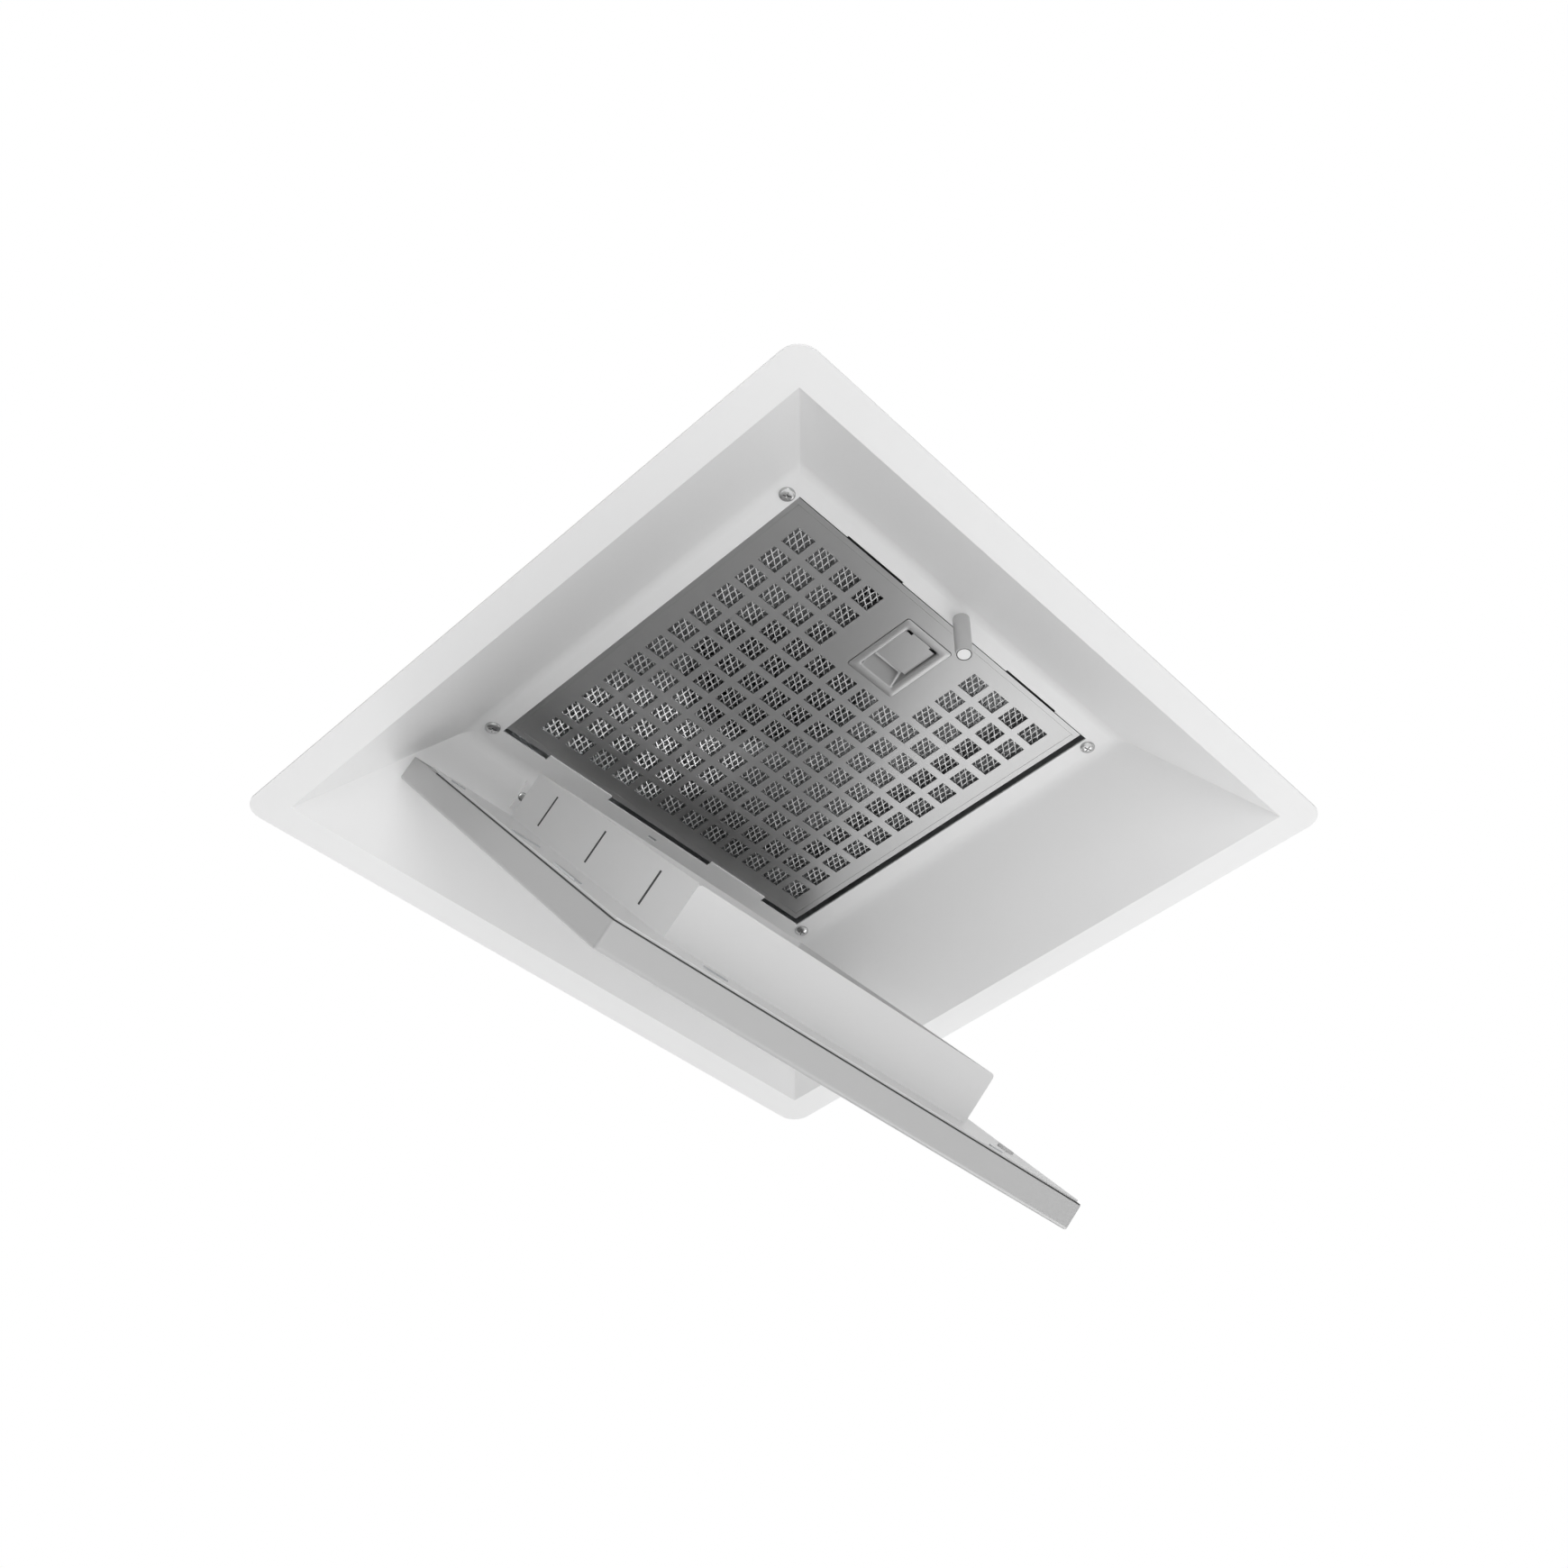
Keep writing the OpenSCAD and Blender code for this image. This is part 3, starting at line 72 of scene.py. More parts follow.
# The cross, as shares of the head's radius and height, and the shank's length in head heights
CROSS_LENGTH_SHARE, CROSS_WIDTH_SHARE, CROSS_DEPTH_SHARE = 1.05, 0.17, 0.6
SHANK_SHARE = 2
# Seats are sorted by their places to this many digits, so that each run turns the same screws alike
SEAT_DIGITS = 5

HANGER_BOLT = {
    "Washer radius": 0.0055,
    "Washer height": 0.0009,
    "Head height": 0.0035,
    "Shank radius": 0.0029,
    "Shank length": 0.0078,
}
# Radius of the bolt's hexagon over its corners, as a share of the washer's
HEXAGON_SHARE = 0.86

Layer = namedtuple("Layer", "name depth turn long short finish")
# Layers of expanded mesh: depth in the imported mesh's place, turn, and a diamond's sides as shares of a cell
MESH_LAYERS = (
    Layer(name="mesh_layer_1", depth=0.0011, turn=-0.50, long=1.75, short=0.95, finish="expanded_mesh"),
    Layer(name="mesh_layer_2", depth=0.0034, turn=-1.05, long=1.30, short=0.95, finish="expanded_mesh_back"),
)
# Thickness of a strand as a share of its width, and the back layer's brightness as a share of the front's,
# which is painted shade: the back layer is darkened for the shade behind the front layer
STRAND_SHARE = 0.4
MESH_BACK_SHADE_SHARE = 0.34

# Pressed edges of the finger recess, as shares of their size: where they turn, outside and inside
TURN_SHARE, MOUTH_TURN_SHARE, MOUTH_DEPTH_SHARE = 0.3, 0.4, 1.6

# The latch's spring and the dark ring that stands a little out of the post's tip
LATCH_WIRE, LATCH_TURNS = 0.00035, 16.0
RING_WIRE, RING_PROUD = 0.0005, 0.0002

# Soft square lamps: name as in the stage's settings, width and place; all face the frame's origin
SOFT_LAMPS = (
    ("below", 2.4, (0, 0, -1.6)),
    ("above", 3.0, (0.6, -0.6, 2.4)),
    ("front", 1.2, (1.7, -1.15, -0.85)),
    ("hinge", 1.2, (-2.0, 0.5, -0.75)),
    ("back", 1.0, (-0.65, 1.6, -1.35)),
    ("corner", 1.4, (1.15, 1.8, -1.35)),
)
# Two narrow lamps from one place, each on its own stretch of the filter's mesh
GLOW_PLACE = (1.0, 0.5, -0.75)
GLOW_TARGETS = ((-0.090, -0.112, 0.09), (-0.090, -0.040, 0.09))
GLOW_ANGLE = radians(3.0)
GLOW_BLEND = 0.35
GLOW_SIZE = 0.01

# Where the floor has turned white, as a share of its half width
FADE_SHARE = 2 / 3

# The photograph's viewpoint, for a square picture: millimetres, shares of the picture, metres, degrees
SENSOR = 36.0
FOCAL_LENGTH = 39.883
LENS_SHIFT = (-0.10355, -0.04446)
CAMERA_PLACE = (0.702579, -0.688864, -0.955791)
CAMERA_TURN = (137.286241, 2.767508, 41.392092)


def colour(name, description, default):
    """A colour as a property."""
    return bpy.props.FloatVectorProperty(
        name=name, description=description, subtype="COLOR", size=3, min=0, max=1, default=default
    )


def share(name, description, default):
    """A number from 0 to 1 as a property."""
    return bpy.props.FloatProperty(
        name=name, description=description, subtype="FACTOR", min=0, max=1, default=default
    )


def length(name, description, default, **limits):
    """A length in metres as a property."""
    return bpy.props.FloatProperty(
        name=name,
        description=description,
        subtype="DISTANCE",
        unit="LENGTH",
        default=default,
        precision=5,
        **limits,
    )


def power(name, description, default):
    """A lamp's power as a property."""
    return bpy.props.FloatProperty(
        name=name, description=description, unit="POWER", min=0, default=default
    )


class HoodFinish(bpy.types.PropertyGroup):
    """Colours and gloss of the hood's surfaces."""

    paint: colour("Paint", "Powder coat on the canopy and the hinge brackets", (0.90, 0.90, 0.90))
    paint_rough: share("Paint roughness", "Roughness of the powder coat", 0.42)
    # Painted shade: the door's colour is darker than the canopy's paint, to stand in for the shade on the
    # door
    door: colour("Door paint", "Satin coat on the door", (0.50, 0.50, 0.50))
    collar: colour("Inner sheet", "Satin sheet of the door's collar and back plate", (0.79, 0.79, 0.79))
    filter_metal: colour("Filter sheet", "Stainless sheet of the filter", (0.44, 0.44, 0.44))
    mesh_metal: colour("Filter mesh", "Expanded metal behind the filter's holes", (0.90, 0.90, 0.90))
    zinc: colour("Zinc sheet", "Zinc coated sheet of the housing and the blower", (0.55, 0.56, 0.57))
    fastener: colour("Fasteners", "Bright zinc of the screws, rivets, pins and springs", (0.56, 0.56, 0.56))
    motor: colour("Motor paint", "Dark paint on the motor", (0.10, 0.10, 0.11))
    post: colour("Post and buffer", "Grey moulding of the magnet's post and the buffer", (0.58, 0.58, 0.58))
    magnet: colour("Magnet", "Disc in the post's tip", (0.90, 0.90, 0.90))
    # The rubber's black is also painted shade on the seal round the back plate and on the strips in the
    # collar's slots
    rubber: colour("Rubber", "Seal, slot strips, motor mounts and lead", (0.03, 0.03, 0.03))
    white: colour("White moulding", "Terminal box, its lid and block, and capacitor", (0.78, 0.78, 0.76))
    black: colour("Black moulding", "Cable gland and its nut", (0.03, 0.03, 0.03))
    fan: colour("Fan sheet", "Aluminium of the blower wheel and the duct's flaps", (0.70, 0.70, 0.71))


class HoodFilter(bpy.types.PropertyGroup):
    """Sizes of the expanded mesh behind the filter's holes, and of the plate's fold line."""

    cell: length("Cell", "Size that the sides of the mesh's diamonds are shares of", 0.0060, min=0.002)
    strand: length("Strand", "Width of a strand of the mesh", 0.0011, min=0.0002)
    lift: length("Lift", "How far every other crossing of the mesh stands back", 0.0010, min=0)
    tilt: bpy.props.FloatProperty(
        name="Tilt",
        description="Angle between the flat faces of two strands side by side",
        subtype="ANGLE",
        unit="ROTATION",
        default=1.3,
    )
    fold_in: length("Fold place", "Distance of the plate's fold line from its edge", 0.0048)
    fold: length("Fold", "Width of the plate's fold line", 0.0007)


class HoodHandle(bpy.types.PropertyGroup):
    """Sizes of the finger recess in the filter."""

    frame_half: length("Frame half length", "Half the length of the proud frame", 0.0332)
    frame_side: length("Frame half width", "Half the width of the proud frame", 0.0257)
    mouth_half: length("Mouth half length", "Half the length of the recess", 0.025)
    mouth_side: length("Mouth half width", "Half the width of the recess", 0.0175)
    proud: length("Proud", "How far the frame stands out of the filter", 0.0016)
    edge: length("Edge", "Size of the pressed edges", 0.0007)
    soft: length("Corner", "Radius of the corners", 0.0025)
    sheet: length("Sheet", "Thickness of the sheet", 0.0006)
    slope: length("Slope", "How far the finger end slopes in over its depth", 0.009)
    strap_side: length("Strap half width", "Half the width of the latch's strap", 0.0105)
    tongue: length("Tongue", "Thickness of the latch's tongue", 0.0015)
    air: length("Air", "Air round the strap", 0.0004)


class HoodDoor(bpy.types.PropertyGroup):
    """Places on the closed door, for what is laid on it before it is turned."""

    pin: bpy.props.FloatVectorProperty(
        name="Pin",
        description="A point on the hinge line",
        subtype="TRANSLATION",
        unit="LENGTH",
        default=(-0.2076, 0.0, 0.0310),
        precision=5,
    )
    plate_half: length("Plate", "Half the width of the back plate, with its air", 0.2161)
    lip_z: length("Lip", "Height of the door's lip when closed", 0.04235)
    # Painted shade: the seal is a dark strip that stands in for the shade line in the gap round the back
    # plate
    gap_shade: length("Seal width", "Width of the seal", 0.0020)
    gap_shade_height: length("Seal height", "Height of the seal", 0.0008)
    gap_shade_start: length("Seal start", "Where the seal starts at the hinge", -0.160)
    collar_half: length("Collar", "Half the width of the collar", 0.14575)
    collar_sheet: length("Collar sheet", "Thickness of the collar", 0.0010)
    collar_middle: length("Collar middle", "Middle of the collar across the hinge", -0.0089)
    slot_step: length("Slot step", "Distance between two slots", 0.104)
    # Painted shade: the slot strips are dark strips that stand in for the shade inside the collar's slots
    slot_half: length("Slot half width", "Half the width of a slot's strip", 0.0014)
    slot_low: length("Slot low", "Lower end of a slot's strip", 0.0517)
    slot_high: length("Slot high", "Upper end of a slot's strip", 0.0783)
    slot_proud: length("Slot strip proud", "How far a strip stands out of the collar's outer face", 0.0001)


class HoodStage(bpy.types.PropertyGroup):
    """Levels of the lamps and the surroundings, and the floor."""

    below: power("Lamp below", "Power of the wide soft lamp over the floor", 11.5)
    front: power("Front lamp", "Power of the soft lamp on the camera's side", 13.0)
    hinge: power("Hinge lamp", "Power of the soft lamp behind the hinge", 5.5)
    back: power("Back lamp", "Power of the soft lamp across from the camera", 6.5)
    corner: power("Corner lamp", "Power of the lamp that the door's front mirrors", 5.0)
    above: power("Lamp above", "Power of the wide lamp over the housing and the floor", 48.0)
    glow: power("Mesh lamp", "Power of the two narrow lamps on the filter's mesh", 110.0)
    air: bpy.props.FloatProperty(
        name="Surroundings",
        description="Level of the plain light from all round",
        min=0,
        default=0.34,
    )
    floor_colour: colour("Floor colour", "Colour of the floor", (0.8, 0.8, 0.8))
    floor_z: length("Floor", "Height of the floor under the ceiling plane", -1.7)
    floor_half: length("Floor half width", "Half the width of the floor", 9.0)
    floor_white: share("Floor white", "Share of plain white that the camera sees in the near floor", 0.6)


def finish(name, shade, rough, metal=0.0, grain=0.0, stretch=(1, 1, 1), scale=600.0, bump=0.0):
    """A plain material; grain varies its roughness and bump its surface, on object coordinates."""
    mat = bpy.data.materials.new(name)
    mat.use_nodes = True
    shader = mat.node_tree.nodes["Principled BSDF"]
    shader.inputs["Base Color"].default_value = (*shade, 1)
    shader.inputs["Roughness"].default_value = rough
    shader.inputs["Metallic"].default_value = metal
    if grain or bump:
        noise = speckle(mat.node_tree, stretch, scale)
    if grain:
        vary_gloss(mat.node_tree, noise, shader, rough, grain)
    if bump:
        roughen(mat.node_tree, noise, shader, bump)
    return mat


def speckle(shading, stretch, scale):
    """Fine noise over the piece, drawn out along its axes."""
    place = shading.nodes.new("ShaderNodeTexCoord")
    drawn = shading.nodes.new("ShaderNodeMapping")
    drawn.inputs["Scale"].default_value = stretch
    noise = shading.nodes.new("ShaderNodeTexNoise")
    noise.inputs["Scale"].default_value = scale
    noise.inputs["Detail"].default_value = 3
    shading.links.new(place.outputs["Object"], drawn.inputs["Vector"])
    shading.links.new(drawn.outputs["Vector"], noise.inputs["Vector"])
    return noise


def vary_gloss(shading, noise, shader, rough, grain):
    """Let the roughness stray by the grain to both sides."""
    span = shading.nodes.new("ShaderNodeMapRange")
    span.inputs["To Min"].default_value = max(0.0, rough - grain)
    span.inputs["To Max"].default_value = min(1.0, rough + grain)
    shading.links.new(noise.outputs["Fac"], span.inputs["Value"])
    shading.links.new(span.outputs["Result"], shader.inputs["Roughness"])


def roughen(shading, noise, shader, depth):
    """Let the noise stand out of the surface by a depth."""
    relief = shading.nodes.new("ShaderNodeBump")
    relief.inputs["Strength"].default_value = 1
    relief.inputs["Distance"].default_value = depth
    shading.links.new(noise.outputs["Fac"], relief.inputs["Height"])
    shading.links.new(relief.outputs["Normal"], shader.inputs["Normal"])


def dress(nodes, mat):
    """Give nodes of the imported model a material."""
    for name in nodes:
        piece = frame["nodes"][name]
        if not piece.data.materials:
            piece.data.materials.append(mat)
        for used in piece.material_slots:
            used.material = mat


def corners(node):
    """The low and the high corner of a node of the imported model."""
    low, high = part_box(node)
    return Vector(low), Vector(high)


def islands(node):
    """The separate solids of a CAD node, each as a list of its points."""
    merged = bmesh.new()
    merged.from_mesh(frame["nodes"][node].data)
    bmesh.ops.remove_doubles(merged, verts=merged.verts, dist=1e-6)
    left = set(merged.verts)
    found = []
    while left:
        reached = [left.pop()]
        solid = []
        while reached:
            here = reached.pop()
            solid.append(here.co.copy())
            for edge in here.link_edges:
                other = edge.other_vert(here)
                if other in left:
                    left.remove(other)
                    reached.append(other)
        found.append(solid)
    merged.free()
    return found


def head_seats(node, facing, height):
    """A node's fastener heads, in a fixed order: a point under each head and the way it faces."""
    seats = []
    for solid in islands(node):
        middle = Vector([(min(p[k] for p in solid) + max(p[k] for p in solid)) / 2 for k in range(3)])
        for way in facing(middle):
            way = Vector(way).normalized()
            reach = max(p.dot(way) for p in solid) - middle.dot(way)
            seats.append((middle + way * (reach - height), way))
    return sorted(seats, key=lambda seat: [round(value, SEAT_DIGITS) for value in (*seat[0], *seat[1])])


def seat_mesh(name, seats):
    """Points that carry the way their instance faces."""
    points = bpy.data.meshes.new(name)
    points.from_pydata([tuple(place) for place, way in seats], [], [])
    facing = points.attributes.new("facing", "FLOAT_VECTOR", "POINT")
    for item, (place, way) in zip(facing.data, seats):
        item.vector = way
    return points


def tree(name, **sizes):
    """A Geometry Nodes tree with a geometry, sizes named under their kinds and a material going in."""
    group = bpy.data.node_groups.new(name, "GeometryNodeTree")
    group.interface.new_socket("Geometry", in_out="INPUT", socket_type="NodeSocketGeometry")
    for kind, labels in sizes.items():
        for label in labels:
            group.interface.new_socket(label, in_out="INPUT", socket_type="NodeSocket" + kind)
    group.interface.new_socket("Material", in_out="INPUT", socket_type="NodeSocketMaterial")
    group.interface.new_socket("Geometry", in_out="OUTPUT", socket_type="NodeSocketGeometry")
    return group, group.nodes.new("NodeGroupInput").outputs


def step(group, kind, values=None, **settings):
    """One node: settings are its own properties, values go to its inputs, sockets are linked."""
    made = group.nodes.new(kind)
    for key, value in settings.items():
        setattr(made, key, value)
    for key, value in (values or {}).items():
        if isinstance(value, bpy.types.NodeSocket):
            group.links.new(value, made.inputs[key])
        else:
            made.inputs[key].default_value = value
    return made


def sums(group, operation, *terms):
    """One Math node, as its result."""
    return step(group, "ShaderNodeMath", dict(enumerate(terms)), operation=operation).outputs[0]


def vector(group, **parts):
    """A vector of the given parts, zero where none is given."""
    return step(group, "ShaderNodeCombineXYZ", parts).outputs[0]


def moved(group, shape, place, turn=(0, 0, 0)):
    """A shape turned about the origin and moved to a place."""
    values = {"Geometry": shape, "Translation": place, "Rotation": turn}
    return step(group, "GeometryNodeTransform", values).outputs[0]


def less(group, solid, block):
    """A solid less a block."""
    values = {"Mesh 1": solid, "Mesh 2": block}
    return step(group, "GeometryNodeMeshBoolean", values, operation="DIFFERENCE").outputs[0]


def cuboid(group, size):
    """A block round the origin."""
    return step(group, "GeometryNodeMeshCube", {"Size": size}).outputs[0]


def cylinder(group, sides, radius, height):
    """An upright cylinder or prism round the origin."""
    values = {"Vertices": sides, "Radius": radius, "Depth": height}
    return step(group, "GeometryNodeMeshCylinder", values).outputs[0]


def joined(group, shapes):
    """Several shapes as one."""
    whole = step(group, "GeometryNodeJoinGeometry")
    for shape in shapes:
        group.links.new(shape, whole.inputs[0])
    return whole.outputs[0]


def swept(group, paths, section):
    """Paths with a closed section drawn along them and their ends filled."""
    values = {"Curve": paths, "Profile Curve": section, "Fill Caps": True}
    return step(group, "GeometryNodeCurveToMesh", values).outputs[0]


def stored(group, name):
    """A vector that the source mesh carries on its points."""
    values = {"Name": name}
    return step(group, "GeometryNodeInputNamedAttribute", values, data_type="FLOAT_VECTOR").outputs[0]


def on_seats(group, seats, shape, spin=None):
    """A shape on every seat, turned to face the seat's way after its own spin, if it has one."""
    values = {"Vector": stored(group, "facing")}
    turned = step(group, "FunctionNodeAlignRotationToVector", values, axis="Z").outputs[0]
    if spin:
        values = {"Rotation": turned, "Rotate By": spin}
        turned = step(group, "FunctionNodeRotateRotation", values, rotation_space="LOCAL").outputs[0]
    values = {"Points": seats, "Instance": shape, "Rotation": turned}
    return step(group, "GeometryNodeInstanceOnPoints", values).outputs[0]


def end_tree(group, shape, material):
    """The last nodes of every tree: real geometry with its material."""
    real = step(group, "GeometryNodeRealizeInstances", {"Geometry": shape})
    coated = step(group, "GeometryNodeSetMaterial", {"Geometry": real.outputs[0], "Material": material})
    step(group, "NodeGroupOutput", {"Geometry": coated.outputs[0]})


def grow(name, source, group, values, mat, body, nodes=(), smooth=0.6):
    """Edges that bend by less than the angle smooth, in radians, are shaded round.
    """
    piece = bpy.data.objects.new(name, source)
    bpy.context.scene.collection.objects.link(piece)
    live = piece.modifiers.new("grow", "NODES")
    live.node_group = group
    for item in group.interface.items_tree:
        if item.in_out == "INPUT" and item.name in values:
            live[item.identifier] = values[item.name]
        if item.in_out == "INPUT" and item.name == "Material":
            live[item.identifier] = mat
    ready = piece.evaluated_get(bpy.context.evaluated_depsgraph_get())
    mesh = bpy.data.meshes.new_from_object(ready)
    piece.modifiers.remove(live)
    piece.data = mesh
    if smooth:
        mesh.shade_smooth()
        mesh.set_sharp_from_angle(angle=smooth)
    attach(piece, body)
    if nodes:
        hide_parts(*nodes)
    return piece


def screw_tree():
    """Domed heads with an optional cross and a shank, one on each seat."""
    group, size = tree(
        "fastener",
        Float=(
            "Head radius",
            "Head height",
            "Dome power",
            "Shank radius",
            "Shank length",
            "Cross length",
            "Cross width",
            "Cross depth",
        ),
        Bool=("Cross",),
    )
    dome = head_dome(group, size)
    values = {"Switch": size["Cross"], "False": dome, "True": crossed(group, size, dome)}
    head = step(group, "GeometryNodeSwitch", values, input_type="GEOMETRY").outputs[0]
    shank = cylinder(group, 12, size["Shank radius"], size["Shank length"])
    sunk = vector(group, Z=sums(group, "MULTIPLY", size["Shank length"], -0.5))
    whole = joined(group, (head, moved(group, shank, sunk)))
    values = {"Min": (0, 0, 0), "Max": (0, 0, pi), "Seed": 4}
    spin = step(group, "FunctionNodeRandomValue", values, data_type="FLOAT_VECTOR").outputs[0]
    end_tree(group, on_seats(group, size["Geometry"], whole, spin), size["Material"])
    return group


def head_dome(group, size):
    """A ball whose upper half is pressed to the head's height and whose lower half is flat."""
    ball = step(group, "GeometryNodeMeshUVSphere", {"Segments": 28, "Rings": 14, "Radius": 1.0})
    where = step(group, "ShaderNodeSeparateXYZ", {0: step(group, "GeometryNodeInputPosition").outputs[0]})
    above = sums(group, "MAXIMUM", where.outputs["Z"], 0.0)
    place = vector(
        group,
        X=sums(group, "MULTIPLY", where.outputs["X"], size["Head radius"]),
        Y=sums(group, "MULTIPLY", where.outputs["Y"], size["Head radius"]),
        Z=sums(group, "MULTIPLY", sums(group, "POWER", above, size["Dome power"]), size["Head height"]),
    )
    values = {"Geometry": ball.outputs[0], "Position": place}
    return step(group, "GeometryNodeSetPosition", values).outputs[0]


def crossed(group, size, dome):
    """A dome less two crossed bars, which stand half above its top."""
    deep = sums(group, "MULTIPLY", size["Cross depth"], 2.0)
    extent = vector(group, X=size["Cross length"], Y=size["Cross width"], Z=deep)
    bar = cuboid(group, extent)
    top = vector(group, Z=size["Head height"])
    for turn in (0, pi / 2):
        dome = less(group, dome, moved(group, bar, top, (0, 0, turn)))
    return dome


def bolt_tree():
    """Hexagon heads on a washer, one on each seat."""
    group, size = tree(
        "hanger_bolt",
        Float=("Washer radius", "Washer height", "Head height", "Shank radius", "Shank length"),
    )
    hexagon = sums(group, "MULTIPLY", size["Washer radius"], HEXAGON_SHARE)
    # Sides, radius, height, and the middle's place as a share of the height
    stack = (
        (6, hexagon, size["Head height"], 0.5),
        (24, size["Washer radius"], size["Washer height"], 0.5),
        (12, size["Shank radius"], size["Shank length"], -0.5),
    )
    parts = []
    for sides, radius, height, middle in stack:
        part = cylinder(group, sides, radius, height)
        lift = vector(group, Z=sums(group, "MULTIPLY", height, middle))
        parts.append(moved(group, part, lift))
    whole = joined(group, parts)
    end_tree(group, on_seats(group, size["Geometry"], whole), size["Material"])
    return group


def strand_tree():
    """Flat strands along the edges of the source mesh, tilted one way and the other."""
    group, size = tree("expanded_mesh", Float=("Strand width", "Strand tilt"))
    paths = step(group, "GeometryNodeMeshToCurve", {"Mesh": size["Geometry"]})
    number = step(group, "GeometryNodeInputIndex")
    odd = sums(group, "MODULO", number.outputs[0], 2.0)
    tilt = sums(group, "MULTIPLY", sums(group, "SUBTRACT", odd, 0.5), size["Strand tilt"])
    tilted = step(group, "GeometryNodeSetCurveTilt", {"Curve": paths.outputs[0], "Tilt": tilt})
    thick = sums(group, "MULTIPLY", size["Strand width"], STRAND_SHARE)
    values = {"Width": size["Strand width"], "Height": thick}
    section = step(group, "GeometryNodeCurvePrimitiveQuadrilateral", values).outputs[0]
    end_tree(group, swept(group, tilted.outputs[0], section), size["Material"])
    return group


def coil_tree():
    """A wire wound along Z, one coil on each seat."""
    group, size = tree("coil", Float=("Turns", "Coil radius", "Coil length", "Wire radius"))
    helix = step(
        group,
        "GeometryNodeCurveSpiral",
        {
            "Resolution": 20,
            "Rotations": size["Turns"],
            "Start Radius": size["Coil radius"],
            "End Radius": size["Coil radius"],
            "Height": size["Coil length"],
        },
    )
    values = {"Resolution": 8, "Radius": size["Wire radius"]}
    section = step(group, "GeometryNodeCurvePrimitiveCircle", values).outputs[0]
    wire = swept(group, helix.outputs[0], section)
    end_tree(group, on_seats(group, size["Geometry"], wire), size["Material"])
    return group


def all_facing(*ways):
    """The same ways to face for every fastener of a node."""
    return lambda middle: ways


def outward_y(middle):
    """Away from the housing, along Y."""
    return [(0, middle.y, 0)]


def outward(middle):
    """Away from the housing, square to the wall that carries the screw."""
    if abs(middle.x) > abs(middle.y):
        return [(middle.x, 0, 0)]
    return outward_y(middle)


class HOOD_OT_fasteners(bpy.types.Operator):
    """Make the screws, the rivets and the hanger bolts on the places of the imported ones"""

    bl_idname = "hood.fasteners"
    bl_label = "Screws, rivets and bolts"

    def execute(self, context):
        screws = screw_tree()
        bright = bpy.data.materials["bright_zinc"]
        down, up, duct = (0, 0, -1), (0, 0, 1), (-1, 0, 0)
        door_up = Vector((sin(DOOR_OPEN), 0, cos(DOOR_OPEN)))
        slope_up = Vector((-cos(SLOPE_LEAN), 0, sin(SLOPE_LEAN)))
        through_door = all_facing(door_up, -door_up)
        through_slope = all_facing(slope_up, -slope_up)
        # Name of the piece, node that it replaces, ways the heads face, body and kind of head
        kinds = (
            ("panel_screw_heads", "panel_screws", all_facing(down), "hood", PANEL_SCREW),
            ("cover_screw_heads", "cover_screws", outward, "hood", SHEET_SCREW),
            ("deck_screw_heads", "deck_screws", outward, "hood", SHEET_SCREW),
            ("scroll_screw_heads", "volute_screws", all_facing(up), "hood", SHEET_SCREW),
            ("inlet_screw_heads", "inlet_screws", all_facing(down), "hood", SHEET_SCREW),
            ("spigot_rivet_heads", "spigot_rivets", all_facing(duct), "hood", SPIGOT_RIVET),
            ("collar_rivet_heads", "collar_rivets", through_door, "door", COLLAR_RIVET),
            ("slope_rivet_heads", "bracket_rivets", through_slope, "hood", SLOPE_RIVET),
        )
        for name, node, facing, body, head in kinds:
            seats = seat_mesh(name, head_seats(node, facing, head.height))
            grow(name, seats, screws, head_sizes(head), bright, body, (node,))

        name, node = "hanger_bolt_heads", "hanger_bolts"
        seats = seat_mesh(name, head_seats(node, outward_y, HANGER_BOLT["Head height"]))
        grow(name, seats, bolt_tree(), HANGER_BOLT, bright, "hood", (node,))
        return {"FINISHED"}


def head_sizes(head):
    """The screw tree's values for one kind of head."""
    return {
        "Head radius": head.radius,
        "Head height": head.height,
        "Dome power": SCREW_POWER if head.cross else RIVET_POWER,
        "Shank radius": head.shank,
        "Shank length": SHANK_SHARE * head.height,
        "Cross length": CROSS_LENGTH_SHARE * head.radius,
        "Cross width": CROSS_WIDTH_SHARE * head.radius,
        "Cross depth": CROSS_DEPTH_SHARE * head.height,
        "Cross": head.cross,
    }


def diamond_paths(name, low, high, cell, height, gap, turn):
    """Zigzag strands of an expanded mesh, turned in the plate and kept between two corners."""
    long, short = cell
    middle = ((low[0] + high[0]) / 2, (low[1] + high[1]) / 2)
    reach = Vector((high[0] - low[0], high[1] - low[1])).length / 2
    points, edges = [], []
    steps, rows = int(reach / (long / 2)), int(reach / (short / 2))
    for row in range(-rows, rows + 1):
        last = None
        for k in range(-steps, steps + 1):
            along = k * long / 2
            across = row * short / 2 + (1 if (k + row) % 2 else -1) * short / 4
            x = middle[0] + along * cos(turn) - across * sin(turn)
            y = middle[1] + along * sin(turn) + across * cos(turn)
            off = not (low[0] < x < high[0] and low[1] < y < high[1])
            if off or (gap[0][0] < x < gap[1][0] and gap[0][1] < y < gap[1][1]):
                last = None
                continue
            points.append((x, y, low[2] + (height if k % 2 else 0)))
            if last is not None:
                edges.append((last, len(points) - 1))
            last = len(points) - 1
    paths = bpy.data.meshes.new(name)
    paths.from_pydata(points, edges, [])
    return paths


